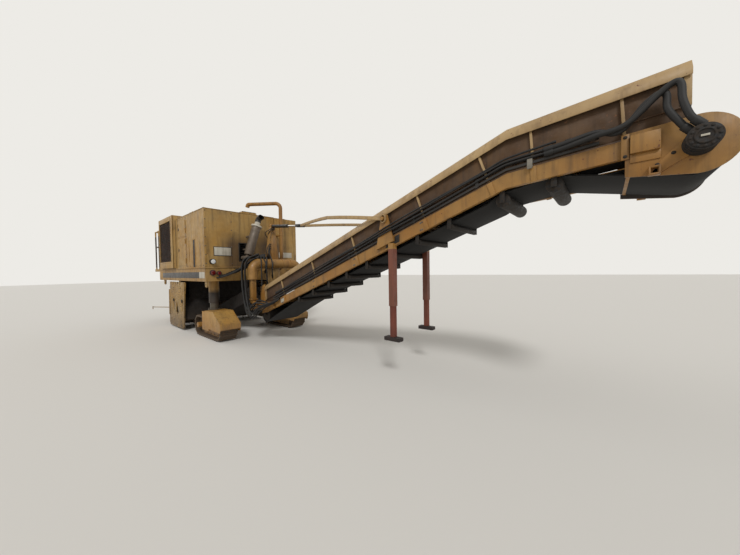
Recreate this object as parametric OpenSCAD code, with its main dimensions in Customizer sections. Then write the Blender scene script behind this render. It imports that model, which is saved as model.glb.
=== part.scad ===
// Front-loading cold planer with a slewing discharge conveyor, stored as it parks.
// Lengths are millimetres. Stations run along x from the front legs' axis, forward positive,
// y is to the left, z is up from the ground, and placed() moves the origin to mid length.

/* [Body] */
// Half width of the body over its side panels
body_half_w = 1461; // [1440:1:1500]
// Front face of the body
body_front_x = 407; // [380:1:440]
// Gap between the fixed side panels and the doors behind them
door_front_x = -1120; // [-1160:1:-1080]
// Front face of the radiator housing
radiator_front_x = -2020; // [-2060:1:-1980]
// Rear face of the radiator housing and of the side beams
radiator_rear_x = -3920; // [-3980:1:-3860]
// Rear edge of the operator's deck
deck_rear_x = -4950; // [-5000:1:-4900]
// Underside of the main frame
frame_bottom_z = 1625; // [1600:1:1650]
// Top of the frame and of the deck
deck_z = 2030; // [2000:1:2060]
// Top of the enclosure
roof_z = 3620; // [3550:1:3700]
// Top of the radiator housing
radiator_top_z = 3770; // [3720:1:3820]
// How far the radiator housing stands out past the side panels
radiator_proud = 165; // [120:1:200]
// Thickness of the body's panels and doors
panel_t = 40; // [30:1:50]
// Radius of the tie-down lugs' eyes
lug_eye_r = 32; // [25:1:40]
// Inner edge of the tank at the front left corner
tank_inner_y = 610; // [580:1:640]

/* [Tracks] */
// Half of the gauge of the front tracks
front_gauge_half = 1113; // [1100:1:1125]
// Half of the gauge of the rear tracks, which run inside the cut
rear_gauge_half = 670; // [640:1:700]
// Station of the rear legs' axis
rear_leg_x = -4450; // [-4500:1:-4400]
// Distance between idler and sprocket
track_wheelbase = 1350; // [1300:1:1400]
// Width over the shoes
track_w = 454; // [420:1:460]
// Radius of the chain over the grousers
track_r = 310; // [300:1:320]
// Depth from the grousers' tips to the chain's inner face
chain_depth = 65; // [55:1:75]
// Shoes in each track
shoe_count = 30; // [26:1:34]
// Bottom rollers in each track
roller_count = 5; // [3:1:6]

/* [Cutter] */
// Station of the drum's axis
drum_x = -2300; // [-2330:1:-2270]
// Height of the drum's axis
drum_z = 580; // [570:1:600]
// Radius of the bare drum
drum_r = 360; // [340:1:370]
// Radius over the picks
pick_r = 500; // [480:1:510]
// How far the side plates' inner faces lie inside the body's sides
plate_inset = 76; // [70:1:90]
// Gap between the drum's ends and the end walls
drum_gap = 30; // [20:1:60]
// Picks on each half of the drum
picks_per_half = 28; // [16:1:34]
// Turn of the helix between neighbouring picks
pick_step = 51; // [30:1:70]
// Travel of the side plates and the moldboard
plate_travel = 300; // [200:1:320]

/* [Gantry] */
// Station of the slew axis
slew_x = 1330; // [1310:1:1350]
// Station of the conveyor's lift pivot
pivot_x = 1500; // [1480:1:1520]
// Height of the conveyor's lift pivot
pivot_z = 950; // [940:1:960]
// Half distance between the gantry's legs
gantry_leg_y = 690; // [685:1:710]
// Height of the gantry's cross tube
cross_tube_z = 2090; // [2080:1:2110]
// Radius of the cross tube
cross_tube_r = 95; // [85:1:105]
// Height of the lift cylinder's pin on the mast
mast_pin_z = 3170; // [3120:1:3220]

/* [Conveyor] */
// Slope of the long lower part
low_slope = 19.24; // [18.5:0.01:20]
// Slope of the head part
high_slope = 3.6; // [2:0.1:6]
// Station of the bend between the two
bend_x = 7700; // [7600:1:7800]
// Lower end of the rails and skirts
tail_x = 1870; // [1840:1:1900]
// Station of the tail pulley
tail_pulley_x = 1740; // [1720:1:1760]
// Station of the head pulley
head_pulley_x = 9270; // [9200:1:9340]
// End of the skirts short of the head pulley
skirt_end_x = 9150; // [9100:1:9160]
// Rise of the skirts' top over the lift pivot
skirt_rise = 410; // [400:1:420]
// Half width over the rails
conveyor_half_w = 550; // [540:1:555]
// Drop from the skirts' top to the carrying belt
belt_drop = 415; // [400:1:425]
// Drop from the skirts' top to the rails' top
rail_drop = 515; // [505:1:525]
// Depth of the rails
rail_depth = 174; // [160:1:190]
// Radius of the belt over its pulleys
belt_r = 191; // [185:1:200]
// Thickness of the belt
belt_t = 16; // [12:1:20]
// Half width of the belt
belt_half_w = 465; // [440:1:475]
// Station of the stands
stand_x = 5980; // [5900:1:6060]
// Height of the stands' feet over the ground
stand_foot_z = 700; // [650:1:750]
// Lower end of the stands' sleeves
stand_sleeve_z = 1270; // [1240:1:1300]

/* [Lift linkage] */
// Station of the yoke's eyes on the conveyor
yoke_eye_x = 5860; // [5840:1:5880]
// Height of the yoke's eyes
yoke_eye_z = 2700; // [2680:1:2720]
// Half distance between the yoke's arms
yoke_half_w = 630; // [620:1:640]
// Length of the lift cylinder's barrel from its eye
barrel_len = 810; // [780:1:840]

/* [Hidden] */
$fn = 48;
seat = 0.3;
wall = 20;
yellow = [0.78, 0.56, 0.2];
dark = [0.16, 0.13, 0.11];
rust = [0.45, 0.2, 0.13];
rubber = [0.1, 0.1, 0.1];
steel = [0.55, 0.53, 0.5];
grey = [0.5, 0.48, 0.45];

leg_r = 110;
sleeve_r = 135;
sleeve_bottom_z = 1000;
collar_z = 800;
collar_t = 30;
kingpin_r = 50;
// Each leg: station, half gauge
leg_rows = [[0, front_gauge_half], [rear_leg_x, rear_gauge_half]];

lug_x = [body_front_x - 100, radiator_rear_x + 100];
lug_y = body_half_w - 60;
lug_z = frame_bottom_z - 95;

cos_low = cos(low_slope);
bend_z = pivot_z + skirt_rise + (bend_x - pivot_x) * tan(low_slope);
mean_slope = (low_slope + high_slope) / 2;
boom_bend = [bend_x, bend_z - belt_drop - belt_r / cos_low];
tail_pulley = boom_bend - (bend_x - tail_pulley_x) * [1, tan(low_slope)];
head_pulley = boom_bend + (head_pulley_x - bend_x) * [1, tan(high_slope)];
nose_r = 235;
pulley_shaft_r = 30;

shell_r = pick_r + 60;
plate_t = 30;
plate_y = body_half_w - plate_inset;
plate_top_z = frame_bottom_z - 35;
plate_x = [drum_x - 880, drum_x + 840];
end_wall_t = 40;
end_wall_y = plate_y - end_wall_t - 45;
drum_half_w = end_wall_y - drum_gap;
guide_pin_r = 30;
pin_z = drum_z + shell_r - 190;
side_pin_x = [drum_x - 450, drum_x + 450];
board_gap = 10;

front_tip_x = head_pulley_x + nose_r;
rear_tip_x = rear_leg_x - track_wheelbase / 2 - track_r;
shift_x = -(front_tip_x + rear_tip_x) / 2;

// Moves the origin from the front legs to mid length.
module placed() {
    translate([shift_x, 0, 0]) children();
}

// A box by its limits.
module slab(x0, x1, y0, y1, z0, z1) {
    translate([x0, y0, z0]) cube([x1 - x0, y1 - y0, z1 - z0]);
}

// A box and its mirror image on the other side.
module slabs(x0, x1, y0, y1, z0, z1) {
    slab(x0, x1, y0, y1, z0, z1);
    slab(x0, x1, -y1, -y0, z0, z1);
}

module both_sides() {
    children();
    mirror([0, 1, 0]) children();
}

// Extrudes an outline drawn in x and z across the machine from y0 to y1.
module across(y0, y1) {
    translate([0, y1, 0]) rotate([90, 0, 0]) linear_extrude(y1 - y0) children();
}

// Extrudes an outline drawn in y and z along the machine from x0 to x1.
module along(x0, x1) {
    translate([x0, 0, 0]) rotate([90, 0, 90]) linear_extrude(x1 - x0) children();
}

// A round bar across the machine at station x and height z.
module cross_bar(x, z, r, y0, y1) {
    translate([x, y0, z]) rotate([-90, 0, 0]) cylinder(r = r, h = y1 - y0);
}

// A round bar between two points.
module rod(a, b, r) {
    d = b - a;
    h = norm(d);
    translate(a) rotate([0, acos(d[2] / h), atan2(d[1], d[0])]) cylinder(r = r, h = h);
}

// Points of an arc about c from angle a0 to a1.
function arc(c, r, a0, a1, n) = [for (i = [0 : n]) let (a = a0 + (a1 - a0) * i / n) c + r * [cos(a), sin(a)]];

// A rectangle with rounded corners.
function soft_rect(x0, x1, y0, y1, r) = concat(
    arc([x1 - r, y0 + r], r, -90, 0, 4), arc([x1 - r, y1 - r], r, 0, 90, 4),
    arc([x0 + r, y1 - r], r, 90, 180, 4), arc([x0 + r, y0 + r], r, 180, 270, 4));

// An upright slot of end radius r, from the origin to height h.
module slot(r, h) {
    polygon(concat(arc([0, h], r, 0, 180, 16), arc([0, 0], r, 180, 360, 16)));
}

// Height of the skirts' top along the conveyor.
function skirt_z(x) = x < bend_x ? bend_z + (x - bend_x) * tan(low_slope) : bend_z + (x - bend_x) * tan(high_slope);

// A strip of the conveyor's side between two drops under the skirts' top.
module conveyor_strip(x0, x1, d0, d1) {
    knee = x0 < bend_x && x1 > bend_x;
    polygon(concat([[x0, skirt_z(x0) - d0]], knee ? [[bend_x, bend_z - d0]] : [], [[x1, skirt_z(x1) - d0]],
        [[x1, skirt_z(x1) - d1]], knee ? [[bend_x, bend_z - d1]] : [], [[x0, skirt_z(x0) - d1]]));
}

// Height of the line through the conveyor's pulleys.
function belt_z(x) = boom_bend[1] + (x - bend_x) * tan(x < bend_x ? low_slope : high_slope);

// Closed outline round two pulleys and the bend between them, at distance r from the line of centres.
function bent_loop(a, m, b, r, s0, s1) = concat(
    arc(a, r, 90 + s0, 270 + s0, 14), [m - r / cos((s0 - s1) / 2) * [cos(90 + (s0 + s1) / 2), sin(90 + (s0 + s1) / 2)]],
    arc(b, r, s1 - 90, s1 + 90, 14), [m + r / cos((s0 - s1) / 2) * [cos(90 + (s0 + s1) / 2), sin(90 + (s0 + s1) / 2)]]);

module main_frame() {
    beam_w = 220;
    band_top = deck_z - 130;
    placed() color(yellow) difference() {
        union() {
            slabs(radiator_rear_x, body_front_x, body_half_w - beam_w, body_half_w, frame_bottom_z, deck_z);
            slab(body_front_x - beam_w, body_front_x, -body_half_w, body_half_w, frame_bottom_z, deck_z);
            slab(radiator_rear_x, body_front_x, -body_half_w, body_half_w, deck_z - 12, deck_z);
            for (x = [drum_x + 400, drum_x - 400, radiator_rear_x + 100])
                slab(x - 100, x + 100, -body_half_w, body_half_w, frame_bottom_z, deck_z);
            slabs(-330, 150, front_gauge_half - 160, body_half_w, frame_bottom_z, band_top);
            slabs(deck_rear_x + 50, radiator_rear_x, 820, 1040, frame_bottom_z, deck_z - 90 - seat);
            slab(rear_leg_x - 330, rear_leg_x + 160, -1040, 1040, frame_bottom_z, band_top);
            slab(body_front_x, slew_x, -180, 180, frame_bottom_z + 15, band_top);
            translate([slew_x, 0, frame_bottom_z - 65]) cylinder(r = 175, h = 400);
            for (leg = leg_rows) both_sides()
                translate([leg[0], leg[1], sleeve_bottom_z]) cylinder(r = sleeve_r, h = band_top - sleeve_bottom_z);
        }
        slabs(radiator_rear_x + 60, body_front_x - 60, body_half_w - 6, body_half_w + 6, frame_bottom_z + 85, band_top - 10);
        // pockets that the side plates float up into
        slabs(plate_x[0] - 10, plate_x[1] + 10, plate_y - 6, plate_y + plate_t + 26,
            frame_bottom_z - 1, plate_top_z + plate_travel + 8);
        translate([slew_x, 0, 0]) cylinder(r = 90, h = deck_z + 100);
        for (leg = leg_rows) both_sides()
            translate([leg[0], leg[1], 0]) cylinder(r = leg_r + seat, h = band_top + 1);
    }
}

module lift_legs() {
    placed() color(steel) difference() {
        for (leg = leg_rows) both_sides() translate([leg[0], leg[1], 0]) {
            translate([0, 0, collar_z]) cylinder(r = leg_r, h = 1040);
            translate([0, 0, collar_z]) cylinder(r = 165, h = collar_t);
            translate([-300, -60, collar_z]) cube([300, 120, collar_t]);
            translate([-250, 0, collar_z]) cylinder(r = 25, h = 500);
            translate([-250, 0, 1150]) cylinder(r = 48, h = frame_bottom_z - seat - 1150);
        }
        for (leg = leg_rows) both_sides()
            translate([leg[0], leg[1], collar_z - 1]) cylinder(r = kingpin_r + seat, h = 121);
    }
}

module enclosure() {
    hatch_z = 3000;
    module plan(inset) {
        difference() {
            translate([radiator_front_x + 5 + inset, -body_half_w + inset])
                square([body_front_x - radiator_front_x - 5 - 2 * inset, 2 * body_half_w - 2 * inset]);
            translate([door_front_x + 10 - inset, tank_inner_y - 10 - inset]) square([3000, 3000]);
        }
    }
    placed() color(yellow) {
        difference() {
            translate([0, 0, deck_z + seat]) linear_extrude(roof_z - deck_z - seat) plan(0);
            translate([0, 0, deck_z - 1]) linear_extrude(roof_z - deck_z - panel_t) plan(panel_t);
            // door openings, one right of two leaves and one left
            slabs(radiator_front_x + 60, door_front_x, body_half_w - panel_t - 1, body_half_w + 1, deck_z + 60, roof_z - 60);
            slab(door_front_x + 265, door_front_x + 305, -body_half_w - 1, -body_half_w + 8, 2180, 2820);
            slab(body_front_x - panel_t - 1, body_front_x + 1, -540, -330, 2200, 2720);
        }
        slab(radiator_front_x + 60, door_front_x, -body_half_w, -body_half_w + panel_t, hatch_z - 15, hatch_z + 15);
        slab(-150, 250, -350, 100, roof_z, roof_z + 90);
        for (x = [-900, -700]) slab(x, x + 60, -body_half_w + 60, -body_half_w + 90, roof_z, roof_z + 60);
        hinge_pins();
    }
}

// The doors' hinges: the knuckles stand clear of the panels, on leaves 12 mm thick.
knuckle_r = 14;
hinge_y = body_half_w + knuckle_r + 1;
hinge_x = door_front_x - 2;
// Each leaf: low edge, high edge
right_leaves = [[deck_z + 65, 2980], [3020, roof_z - 65]];
left_leaf = [deck_z + 65, roof_z - 65];

module hinge_pins() {
    for (leaf = right_leaves) hinge_post(-hinge_y, leaf);
    hinge_post(hinge_y, left_leaf);
}

module hinge_post(y, leaf) {
    for (z = [leaf[0] + 60, leaf[1] - 220]) translate([hinge_x, y, z]) {
        cylinder(r = 6, h = 160);
        for (h = [0, 111]) translate([0, 0, h]) {
            cylinder(r = knuckle_r, h = 49);
            translate([0, y > 0 ? -knuckle_r - 2 : knuckle_r - 10, 0]) cube([20, 12, 49]);
        }
    }
}

module door_leaf(y, leaf) {
    side = y > 0 ? 1 : -1;
    width = door_front_x - 5 - (radiator_front_x + 65);
    y0 = side > 0 ? body_half_w - panel_t : -body_half_w;
    placed() color(yellow) difference() {
        union() {
            translate([door_front_x - 5 - width, y0, leaf[0]]) cube([width, panel_t, leaf[1] - leaf[0]]);
            translate([door_front_x - width + 60, side > 0 ? body_half_w : -body_half_w - 12, (leaf[0] + leaf[1]) / 2])
                cube([30, 12, 140]);
            for (z = [leaf[0] + 60, leaf[1] - 220]) translate([hinge_x, y, z + 50]) {
                cylinder(r = knuckle_r, h = 60);
                translate([-30, side > 0 ? -knuckle_r - 2 : knuckle_r - 10, 0]) cube([30, 12, 60]);
            }
        }
        for (z = [leaf[0] + 60, leaf[1] - 220]) translate([hinge_x, y, z]) cylinder(r = 6 + seat, h = 160);
    }
}

module left_door() {
    door_leaf(hinge_y, left_leaf);
}

module right_upper_door() {
    door_leaf(-hinge_y, right_leaves[1]);
}

module right_lower_door() {
    door_leaf(-hinge_y, right_leaves[0]);
}

module engine_block() {
    placed() color(dark) slab(-1750, -150, -450, 400, deck_z + seat, 3150);
}

grille_x = [radiator_front_x - 1410, radiator_front_x - 350];
grille_z = [2250, radiator_top_z - 190];

module radiator_housing() {
    outer = body_half_w + radiator_proud;
    placed() color(yellow) difference() {
        slab(radiator_rear_x, radiator_front_x, -outer, outer, deck_z + seat, radiator_top_z);
        slab(radiator_rear_x + panel_t, radiator_front_x - panel_t, -outer + panel_t, outer - panel_t,
            deck_z + panel_t, radiator_top_z - panel_t);
        slab(grille_x[0], grille_x[1], -outer - 1, outer + 1, grille_z[0], grille_z[1]);
    }
}

module radiator_grilles() {
    outer = body_half_w + radiator_proud;
    pitch = 60;
    count = floor((grille_z[1] - grille_z[0]) / pitch);
    placed() color(dark) both_sides() {
        slab(grille_x[0] + seat, grille_x[1] - seat, outer - panel_t, outer - panel_t + 8, grille_z[0] + seat, grille_z[1] - seat);
        for (i = [0 : count - 1]) let (z = grille_z[0] + 20 + i * pitch)
            slab(grille_x[0] + 15, grille_x[1] - 15, outer - panel_t + 8, outer - 6, z, z + 14);
        slab(grille_x[0] + seat, grille_x[0] + 25, outer - panel_t, outer - 4, grille_z[0] + seat, grille_z[1] - seat);
        slab(grille_x[1] - 25, grille_x[1] - seat, outer - panel_t, outer - 4, grille_z[0] + seat, grille_z[1] - seat);
    }
}

module fuel_tank() {
    placed() color(yellow) {
        translate([0, 0, deck_z + seat]) linear_extrude(roof_z - deck_z)
            polygon(soft_rect(door_front_x + 20, body_front_x, tank_inner_y, body_half_w - 5, 60));
        translate([body_front_x - 200, tank_inner_y + 450, roof_z]) cylinder(r = 60, h = 40);
    }
}

module rear_platform() {
    rung_x = deck_rear_x - 30;
    y = body_half_w - 40;
    front = radiator_rear_x - 60;
    rear = deck_rear_x + 40;
    // Posts of the handrail: station, side offset
    posts = [[front, y], [(front + rear) / 2, y], [rear, y], [rear, 300]];
    placed() color(yellow) {
        slab(deck_rear_x, radiator_rear_x - seat, -body_half_w, body_half_w, deck_z - 90, deck_z);
        slab(-4400, -4020, -body_half_w + 80, -body_half_w + 420, deck_z - 1, deck_z + 410);
        both_sides() {
            for (p = posts) {
                translate([p[0], p[1], deck_z - 1]) cylinder(r = 24, h = 1480);
                translate([p[0], p[1], deck_z - 1]) cylinder(r = 45, h = 12);
            }
            for (z = [2900, 3490]) {
                rod([front, y, z], [rear, y, z], 18);
                rod([rear, y, z], [rear, 300, z], 18);
            }
        }
        // ladder between the rear tracks
        slabs(rung_x - 35, rung_x + 35, 160, 190, 450, deck_z - 20);
        for (i = [0 : 4]) cross_bar(rung_x, 480 + i * 330, 16, -175, 175);
    }
}

module control_console() {
    placed() color(dark) {
        slab(-4230, -4080, 150, 650, deck_z + seat, 2950);
        across(100, 700) polygon([[-4060, 2950], [-4060, 3130], [-4330, 3010], [-4330, 2950]]);
        for (y = [250, 400, 550]) translate([-4200, y, 3040]) cylinder(r = 12, h = 120);
        translate([-4650, 400, deck_z + seat]) cylinder(r = 60, h = 450);
        slab(-4850, -4430, 180, 620, 2480, 2600);
        slab(-4880, -4790, 180, 620, 2480, 3050);
    }
}

module muffler() {
    foot = [700, -400, 2370];
    top = [700, -130, 3240];
    axis = (top - foot) / norm(top - foot);
    placed() color(grey) {
        rod(foot, top, 125);
        rod(top - 40 * axis, top, 150);
        rod(top, top + 330 * axis, 75);
        rod(foot - 100 * axis, foot, 60);
        rod(foot - 60 * axis, [body_front_x + seat, -430, 2310], 60);
        slab(body_front_x + seat, 640, -330, -270, 2900, 2960);
    }
}

module gooseneck_pipe() {
    r = 57.5;
    foot = [700, 675, 1960];
    top = [700, 675, roof_z + 430];
    tip = [-160, 40, roof_z + 430];
    fore = (tip - top) / norm(tip - top);
    bend = 110;
    placed() color(yellow) {
        rod([body_front_x + seat, 675, 1960], foot, r);
        rod(foot, top - [0, 0, bend], r);
        rod(top - [0, 0, bend], top + bend * fore, r);
        rod(top + bend * fore, tip, r);
        rod(tip, tip - [20, 15, 90], r);
        for (p = [foot, top - [0, 0, bend], top + bend * fore, tip]) translate(p) sphere(r = r + 3, $fn = 24);
        slab(body_front_x + seat, 650, 650, 700, 3000, 3050);
    }
}

module lamps() {
    // Lamps: side, height, radius, depth
    rows = [[1280, 1865, 70, 40], [1120, 1850, 55, 40]];
    placed() color([0.5, 0.08, 0.06]) {
        for (row = rows) both_sides() translate([body_front_x + seat, row[0], row[1]]) rotate([0, 90, 0])
            cylinder(r = row[2], h = row[3]);
        translate([body_front_x + seat, -1290, 2170]) rotate([0, 90, 0]) cylinder(r = 60, h = 90);
    }
}

// Lugs under the frame's corners, with eyes across the machine.
module tie_down_lugs() {
    for (x = lug_x) both_sides() placed() color(yellow) difference() {
        across(lug_y - 20, lug_y + 20) polygon(concat(arc([x, lug_z], 70, 180, 360, 8),
            [[x + 90, frame_bottom_z - seat], [x - 90, frame_bottom_z - seat]]));
        cross_bar(x, lug_z, lug_eye_r, lug_y - 21, lug_y + 21);
    }
}

module drum_housing() {
    n = 24;
    throat_y = 500;
    placed() color(yellow) difference() {
        union() {
            across(-end_wall_y, end_wall_y) polygon(concat(
                arc([drum_x, drum_z], shell_r + wall, 0, 180, n), [[drum_x - shell_r - wall, drum_z - 230]],
                [[drum_x - shell_r, drum_z - 230]], arc([drum_x, drum_z], shell_r, 180, 0, n),
                [[drum_x + shell_r, drum_z - 230]], [[drum_x + shell_r + wall, drum_z - 230]]));
            both_sides() across(end_wall_y, end_wall_y + end_wall_t) polygon(concat(
                arc([drum_x, drum_z], shell_r + wall, 0, 180, n),
                [[drum_x - shell_r - wall, drum_z - 180], [drum_x + shell_r + wall, drum_z - 180]]));
            for (x = [drum_x - 400, drum_x + 400])
                slab(x - 10, x + 10, -1200, 1200, drum_z + 350, frame_bottom_z - seat);
            both_sides() for (x = side_pin_x) {
                cross_bar(x, pin_z, guide_pin_r + 25, end_wall_y + 30, plate_y - 5);
                cross_bar(x, pin_z, guide_pin_r, end_wall_y + 30, plate_y + plate_t + 5);
                cross_bar(x, pin_z, guide_pin_r + 25, plate_y + plate_t + 5, plate_y + plate_t + 20);
            }
            both_sides() {
                translate([drum_x - shell_r - wall - 5, 900, drum_z + 60]) rotate([0, 90, 0])
                    cylinder(r = guide_pin_r + 25, h = 40);
                translate([drum_x - shell_r - wall - 35, 900, drum_z + 60]) rotate([0, 90, 0])
                    cylinder(r = guide_pin_r, h = 60);
                translate([drum_x - shell_r - wall - 50, 900, drum_z + 60]) rotate([0, 90, 0])
                    cylinder(r = guide_pin_r + 25, h = 15);
            }
        }
        cross_bar(drum_x, drum_z, shell_r, -end_wall_y, end_wall_y);
        both_sides() cross_bar(drum_x, drum_z, 70 + seat, end_wall_y - 1, end_wall_y + 50);
        slab(drum_x + shell_r - 250, drum_x + shell_r + wall + 50, -throat_y, throat_y, 0, 850);
    }
}

module cutter_drum() {
    rows = [for (side = [-1, 1], i = [0 : picks_per_half - 1])
        [side * (20 + i * (drum_half_w - 45) / (picks_per_half - 1)), side > 0 ? i * pick_step : i * pick_step + 25]];
    placed() color(dark) translate([drum_x, 0, drum_z]) {
        rotate([90, 0, 0]) difference() {
            cylinder(r = drum_r, h = 2 * drum_half_w, center = true);
            for (m = [0, 1]) mirror([0, 0, m]) translate([0, 0, drum_half_w - 60]) difference() {
                cylinder(r = drum_r - 30, h = 100);
                cylinder(r = 110, h = 200);
            }
        }
        rotate([90, 0, 0]) cylinder(r = 70, h = 2 * (end_wall_y + end_wall_t - 5), center = true);
        for (row = rows) rotate([0, row[1], 0]) translate([drum_r, row[0], 0]) pick();
    }
}

// A pick and its holder, standing on the drum at radius drum_r along x.
module pick() {
    reach = pick_r - drum_r;
    translate([-15, -18, -45]) cube([reach * 0.55 + 15, 36, 80]);
    translate([reach * 0.35, 0, 0]) rotate([0, 50, 0]) cylinder(r = 14, h = reach * 0.9, $fn = 8);
}

module side_plate() {
    top_z = plate_top_z;
    low_z = 50;
    rear_x = plate_x[0];
    front_x = plate_x[1];
    difference() {
        union() {
            across(plate_y, plate_y + plate_t) polygon([[rear_x, low_z + 90], [rear_x + 110, low_z], [front_x - 60, low_z],
                [front_x, low_z + 60], [front_x, top_z], [rear_x, top_z]]);
            slab(rear_x + 120, front_x - 70, plate_y - 15, plate_y + plate_t + 15, low_z, low_z + 60);
            slab(front_x - 60, front_x, plate_y, plate_y + plate_t + 20, 400, top_z);
            slab(rear_x, rear_x + 50, plate_y, plate_y + plate_t + 20, 400, top_z);
            rod([rear_x + 30, plate_y + plate_t, 650], [rear_x - 880, plate_y + 380, 640], 13);
        }
        for (x = side_pin_x) across(plate_y - 20, plate_y + plate_t + 40) polygon(concat(
            arc([x, pin_z], guide_pin_r + seat, 0, 180, 12), arc([x, pin_z - plate_travel - 5], guide_pin_r + seat, 180, 360, 12)));
        // lifting notches along the top edge
        for (i = [0 : 4]) slab(rear_x + 260 + i * 260, rear_x + 340 + i * 260, plate_y - 1, plate_y + plate_t + 1, top_z - 70, top_z + 1);
    }
}

module left_side_plate() {
    placed() color(yellow) side_plate();
}

module right_side_plate() {
    placed() color(yellow) mirror([0, 1, 0]) side_plate();
}

module moldboard() {
    x = drum_x - shell_r - wall - 30;
    placed() color(yellow) difference() {
        union() {
            slab(x, x + 20, -end_wall_y + 15, end_wall_y - 15, 110, drum_z + 160);
            slab(x - 15, x + 30 - board_gap, -end_wall_y + 15, end_wall_y - 15, 60, 130);
            for (y = [-1200, -600, 0, 600, 1200]) slab(x - 60, x, y - 10, y + 10, 110, drum_z + 100);
        }
        both_sides() translate([x - 30, 900, 0]) rotate([90, 0, 90]) linear_extrude(80) polygon(concat(
            arc([0, drum_z + 60], guide_pin_r + seat, 0, 180, 12),
            arc([0, drum_z + 55 - plate_travel], guide_pin_r + seat, 180, 360, 12)));
    }
}

pick_a = [drum_x + shell_r + 130, 400];
pick_b = [slew_x - 110, 1330];
pick_slope = atan2(pick_b[1] - pick_a[1], pick_b[0] - pick_a[0]);
pick_m = (pick_a + pick_b) / 2;
pick_belt_r = 120;
pick_side_y = 480;

module pickup_conveyor() {
    up = [-sin(pick_slope), cos(pick_slope)];
    fore = [cos(pick_slope), sin(pick_slope)];
    placed() color(yellow) {
        both_sides() across(pick_side_y - 15, pick_side_y) polygon([pick_a - 136 * up - 110 * fore, pick_b - 136 * up + 90 * fore,
            pick_b + 200 * up + 90 * fore, pick_a + 260 * up - 110 * fore]);
        // cover over the upper half, and belly plate underneath
        across(-pick_side_y + 5, pick_side_y - 5) polygon([pick_m + 180 * up, pick_b + 180 * up - 60 * fore,
            pick_b + 190 * up - 60 * fore, pick_m + 190 * up]);
        across(-pick_side_y + 5, pick_side_y - 5) polygon([pick_a - 134 * up, pick_b - 134 * up + 80 * fore,
            pick_b - 124 * up + 80 * fore, pick_a - 124 * up]);
        // hangers to the nose of the main frame
        slabs(640, 700, pick_side_y - 22, pick_side_y - 7, 1280, frame_bottom_z + 15 - seat);
        slab(640, 700, -pick_side_y + 8, pick_side_y - 8, frame_bottom_z - 45, frame_bottom_z + 15 - seat);
        for (p = [pick_a, pick_b]) {
            cross_bar(p[0], p[1], (pick_belt_r - belt_t) * cos(90 / 14) - seat, -pick_side_y + 30, pick_side_y - 30);
            cross_bar(p[0], p[1], 30, -pick_side_y + 5, pick_side_y - 5);
        }
    }
}

module pickup_belt() {
    placed() color(rubber) across(-pick_side_y + 25, pick_side_y - 25) difference() {
        polygon(bent_loop(pick_a, pick_m, pick_b, pick_belt_r, pick_slope, pick_slope));
        polygon(bent_loop(pick_a, pick_m, pick_b, pick_belt_r - belt_t, pick_slope, pick_slope));
    }
}

half_base = track_wheelbase / 2;
chain_in_r = track_r - chain_depth;
chain_arc_n = 14;
wheel_r = chain_in_r * cos(90 / chain_arc_n) - seat;
cheek_y = track_w / 2 + 10;

// Point on the track's path at distance s, lifted h off the chain's inner face.
function on_track(s, h) =
    let (half_turn = PI * chain_in_r, w = track_wheelbase, r = chain_in_r + h)
    s < w ? [-half_base + s, -r]
    : s < w + half_turn ? let (a = -90 + 180 * (s - w) / half_turn) [half_base + r * cos(a), r * sin(a)]
    : s < 2 * w + half_turn ? [half_base - (s - w - half_turn), r]
    : let (a = 90 + 180 * (s - 2 * w - half_turn) / half_turn) [-half_base + r * cos(a), r * sin(a)];

module track_chain(x, y) {
    pitch = (2 * track_wheelbase + 2 * PI * chain_in_r) / shoe_count;
    // Outline of one shoe: share of the pitch, height over the chain's inner face
    shoe = [[0, 35], [0.04, chain_depth - 22], [0.3, chain_depth - 22], [0.36, chain_depth], [0.5, chain_depth],
        [0.56, chain_depth - 22], [0.88, chain_depth - 22], [0.92, 35]];
    placed() color(dark) translate([x, 0, track_r]) across(y - track_w / 2, y + track_w / 2) difference() {
        polygon([for (i = [0 : shoe_count - 1], p = shoe) on_track((i + p[0]) * pitch, p[1])]);
        polygon(concat(arc([half_base, 0], chain_in_r, -90, 90, chain_arc_n), arc([-half_base, 0], chain_in_r, 90, 270, chain_arc_n)));
    }
}

module track_wheels(x, y) {
    roller_r = 55;
    span = track_wheelbase - 420;
    placed() color(steel) translate([x, y, 0]) {
        for (side = [-1, 1]) {
            cross_bar(side * half_base, track_r, wheel_r, -90, 90);
            cross_bar(side * half_base, track_r, 120, -100, 100);
            cross_bar(side * half_base, track_r, 35, -128, 128);
        }
        for (i = [0 : roller_count - 1]) let (rx = -span / 2 + i * span / (roller_count - 1)) {
            cross_bar(rx, chain_depth + roller_r + seat, roller_r, -80, 80);
            cross_bar(rx, chain_depth + roller_r + seat, 20, -110, 110);
        }
    }
}

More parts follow.
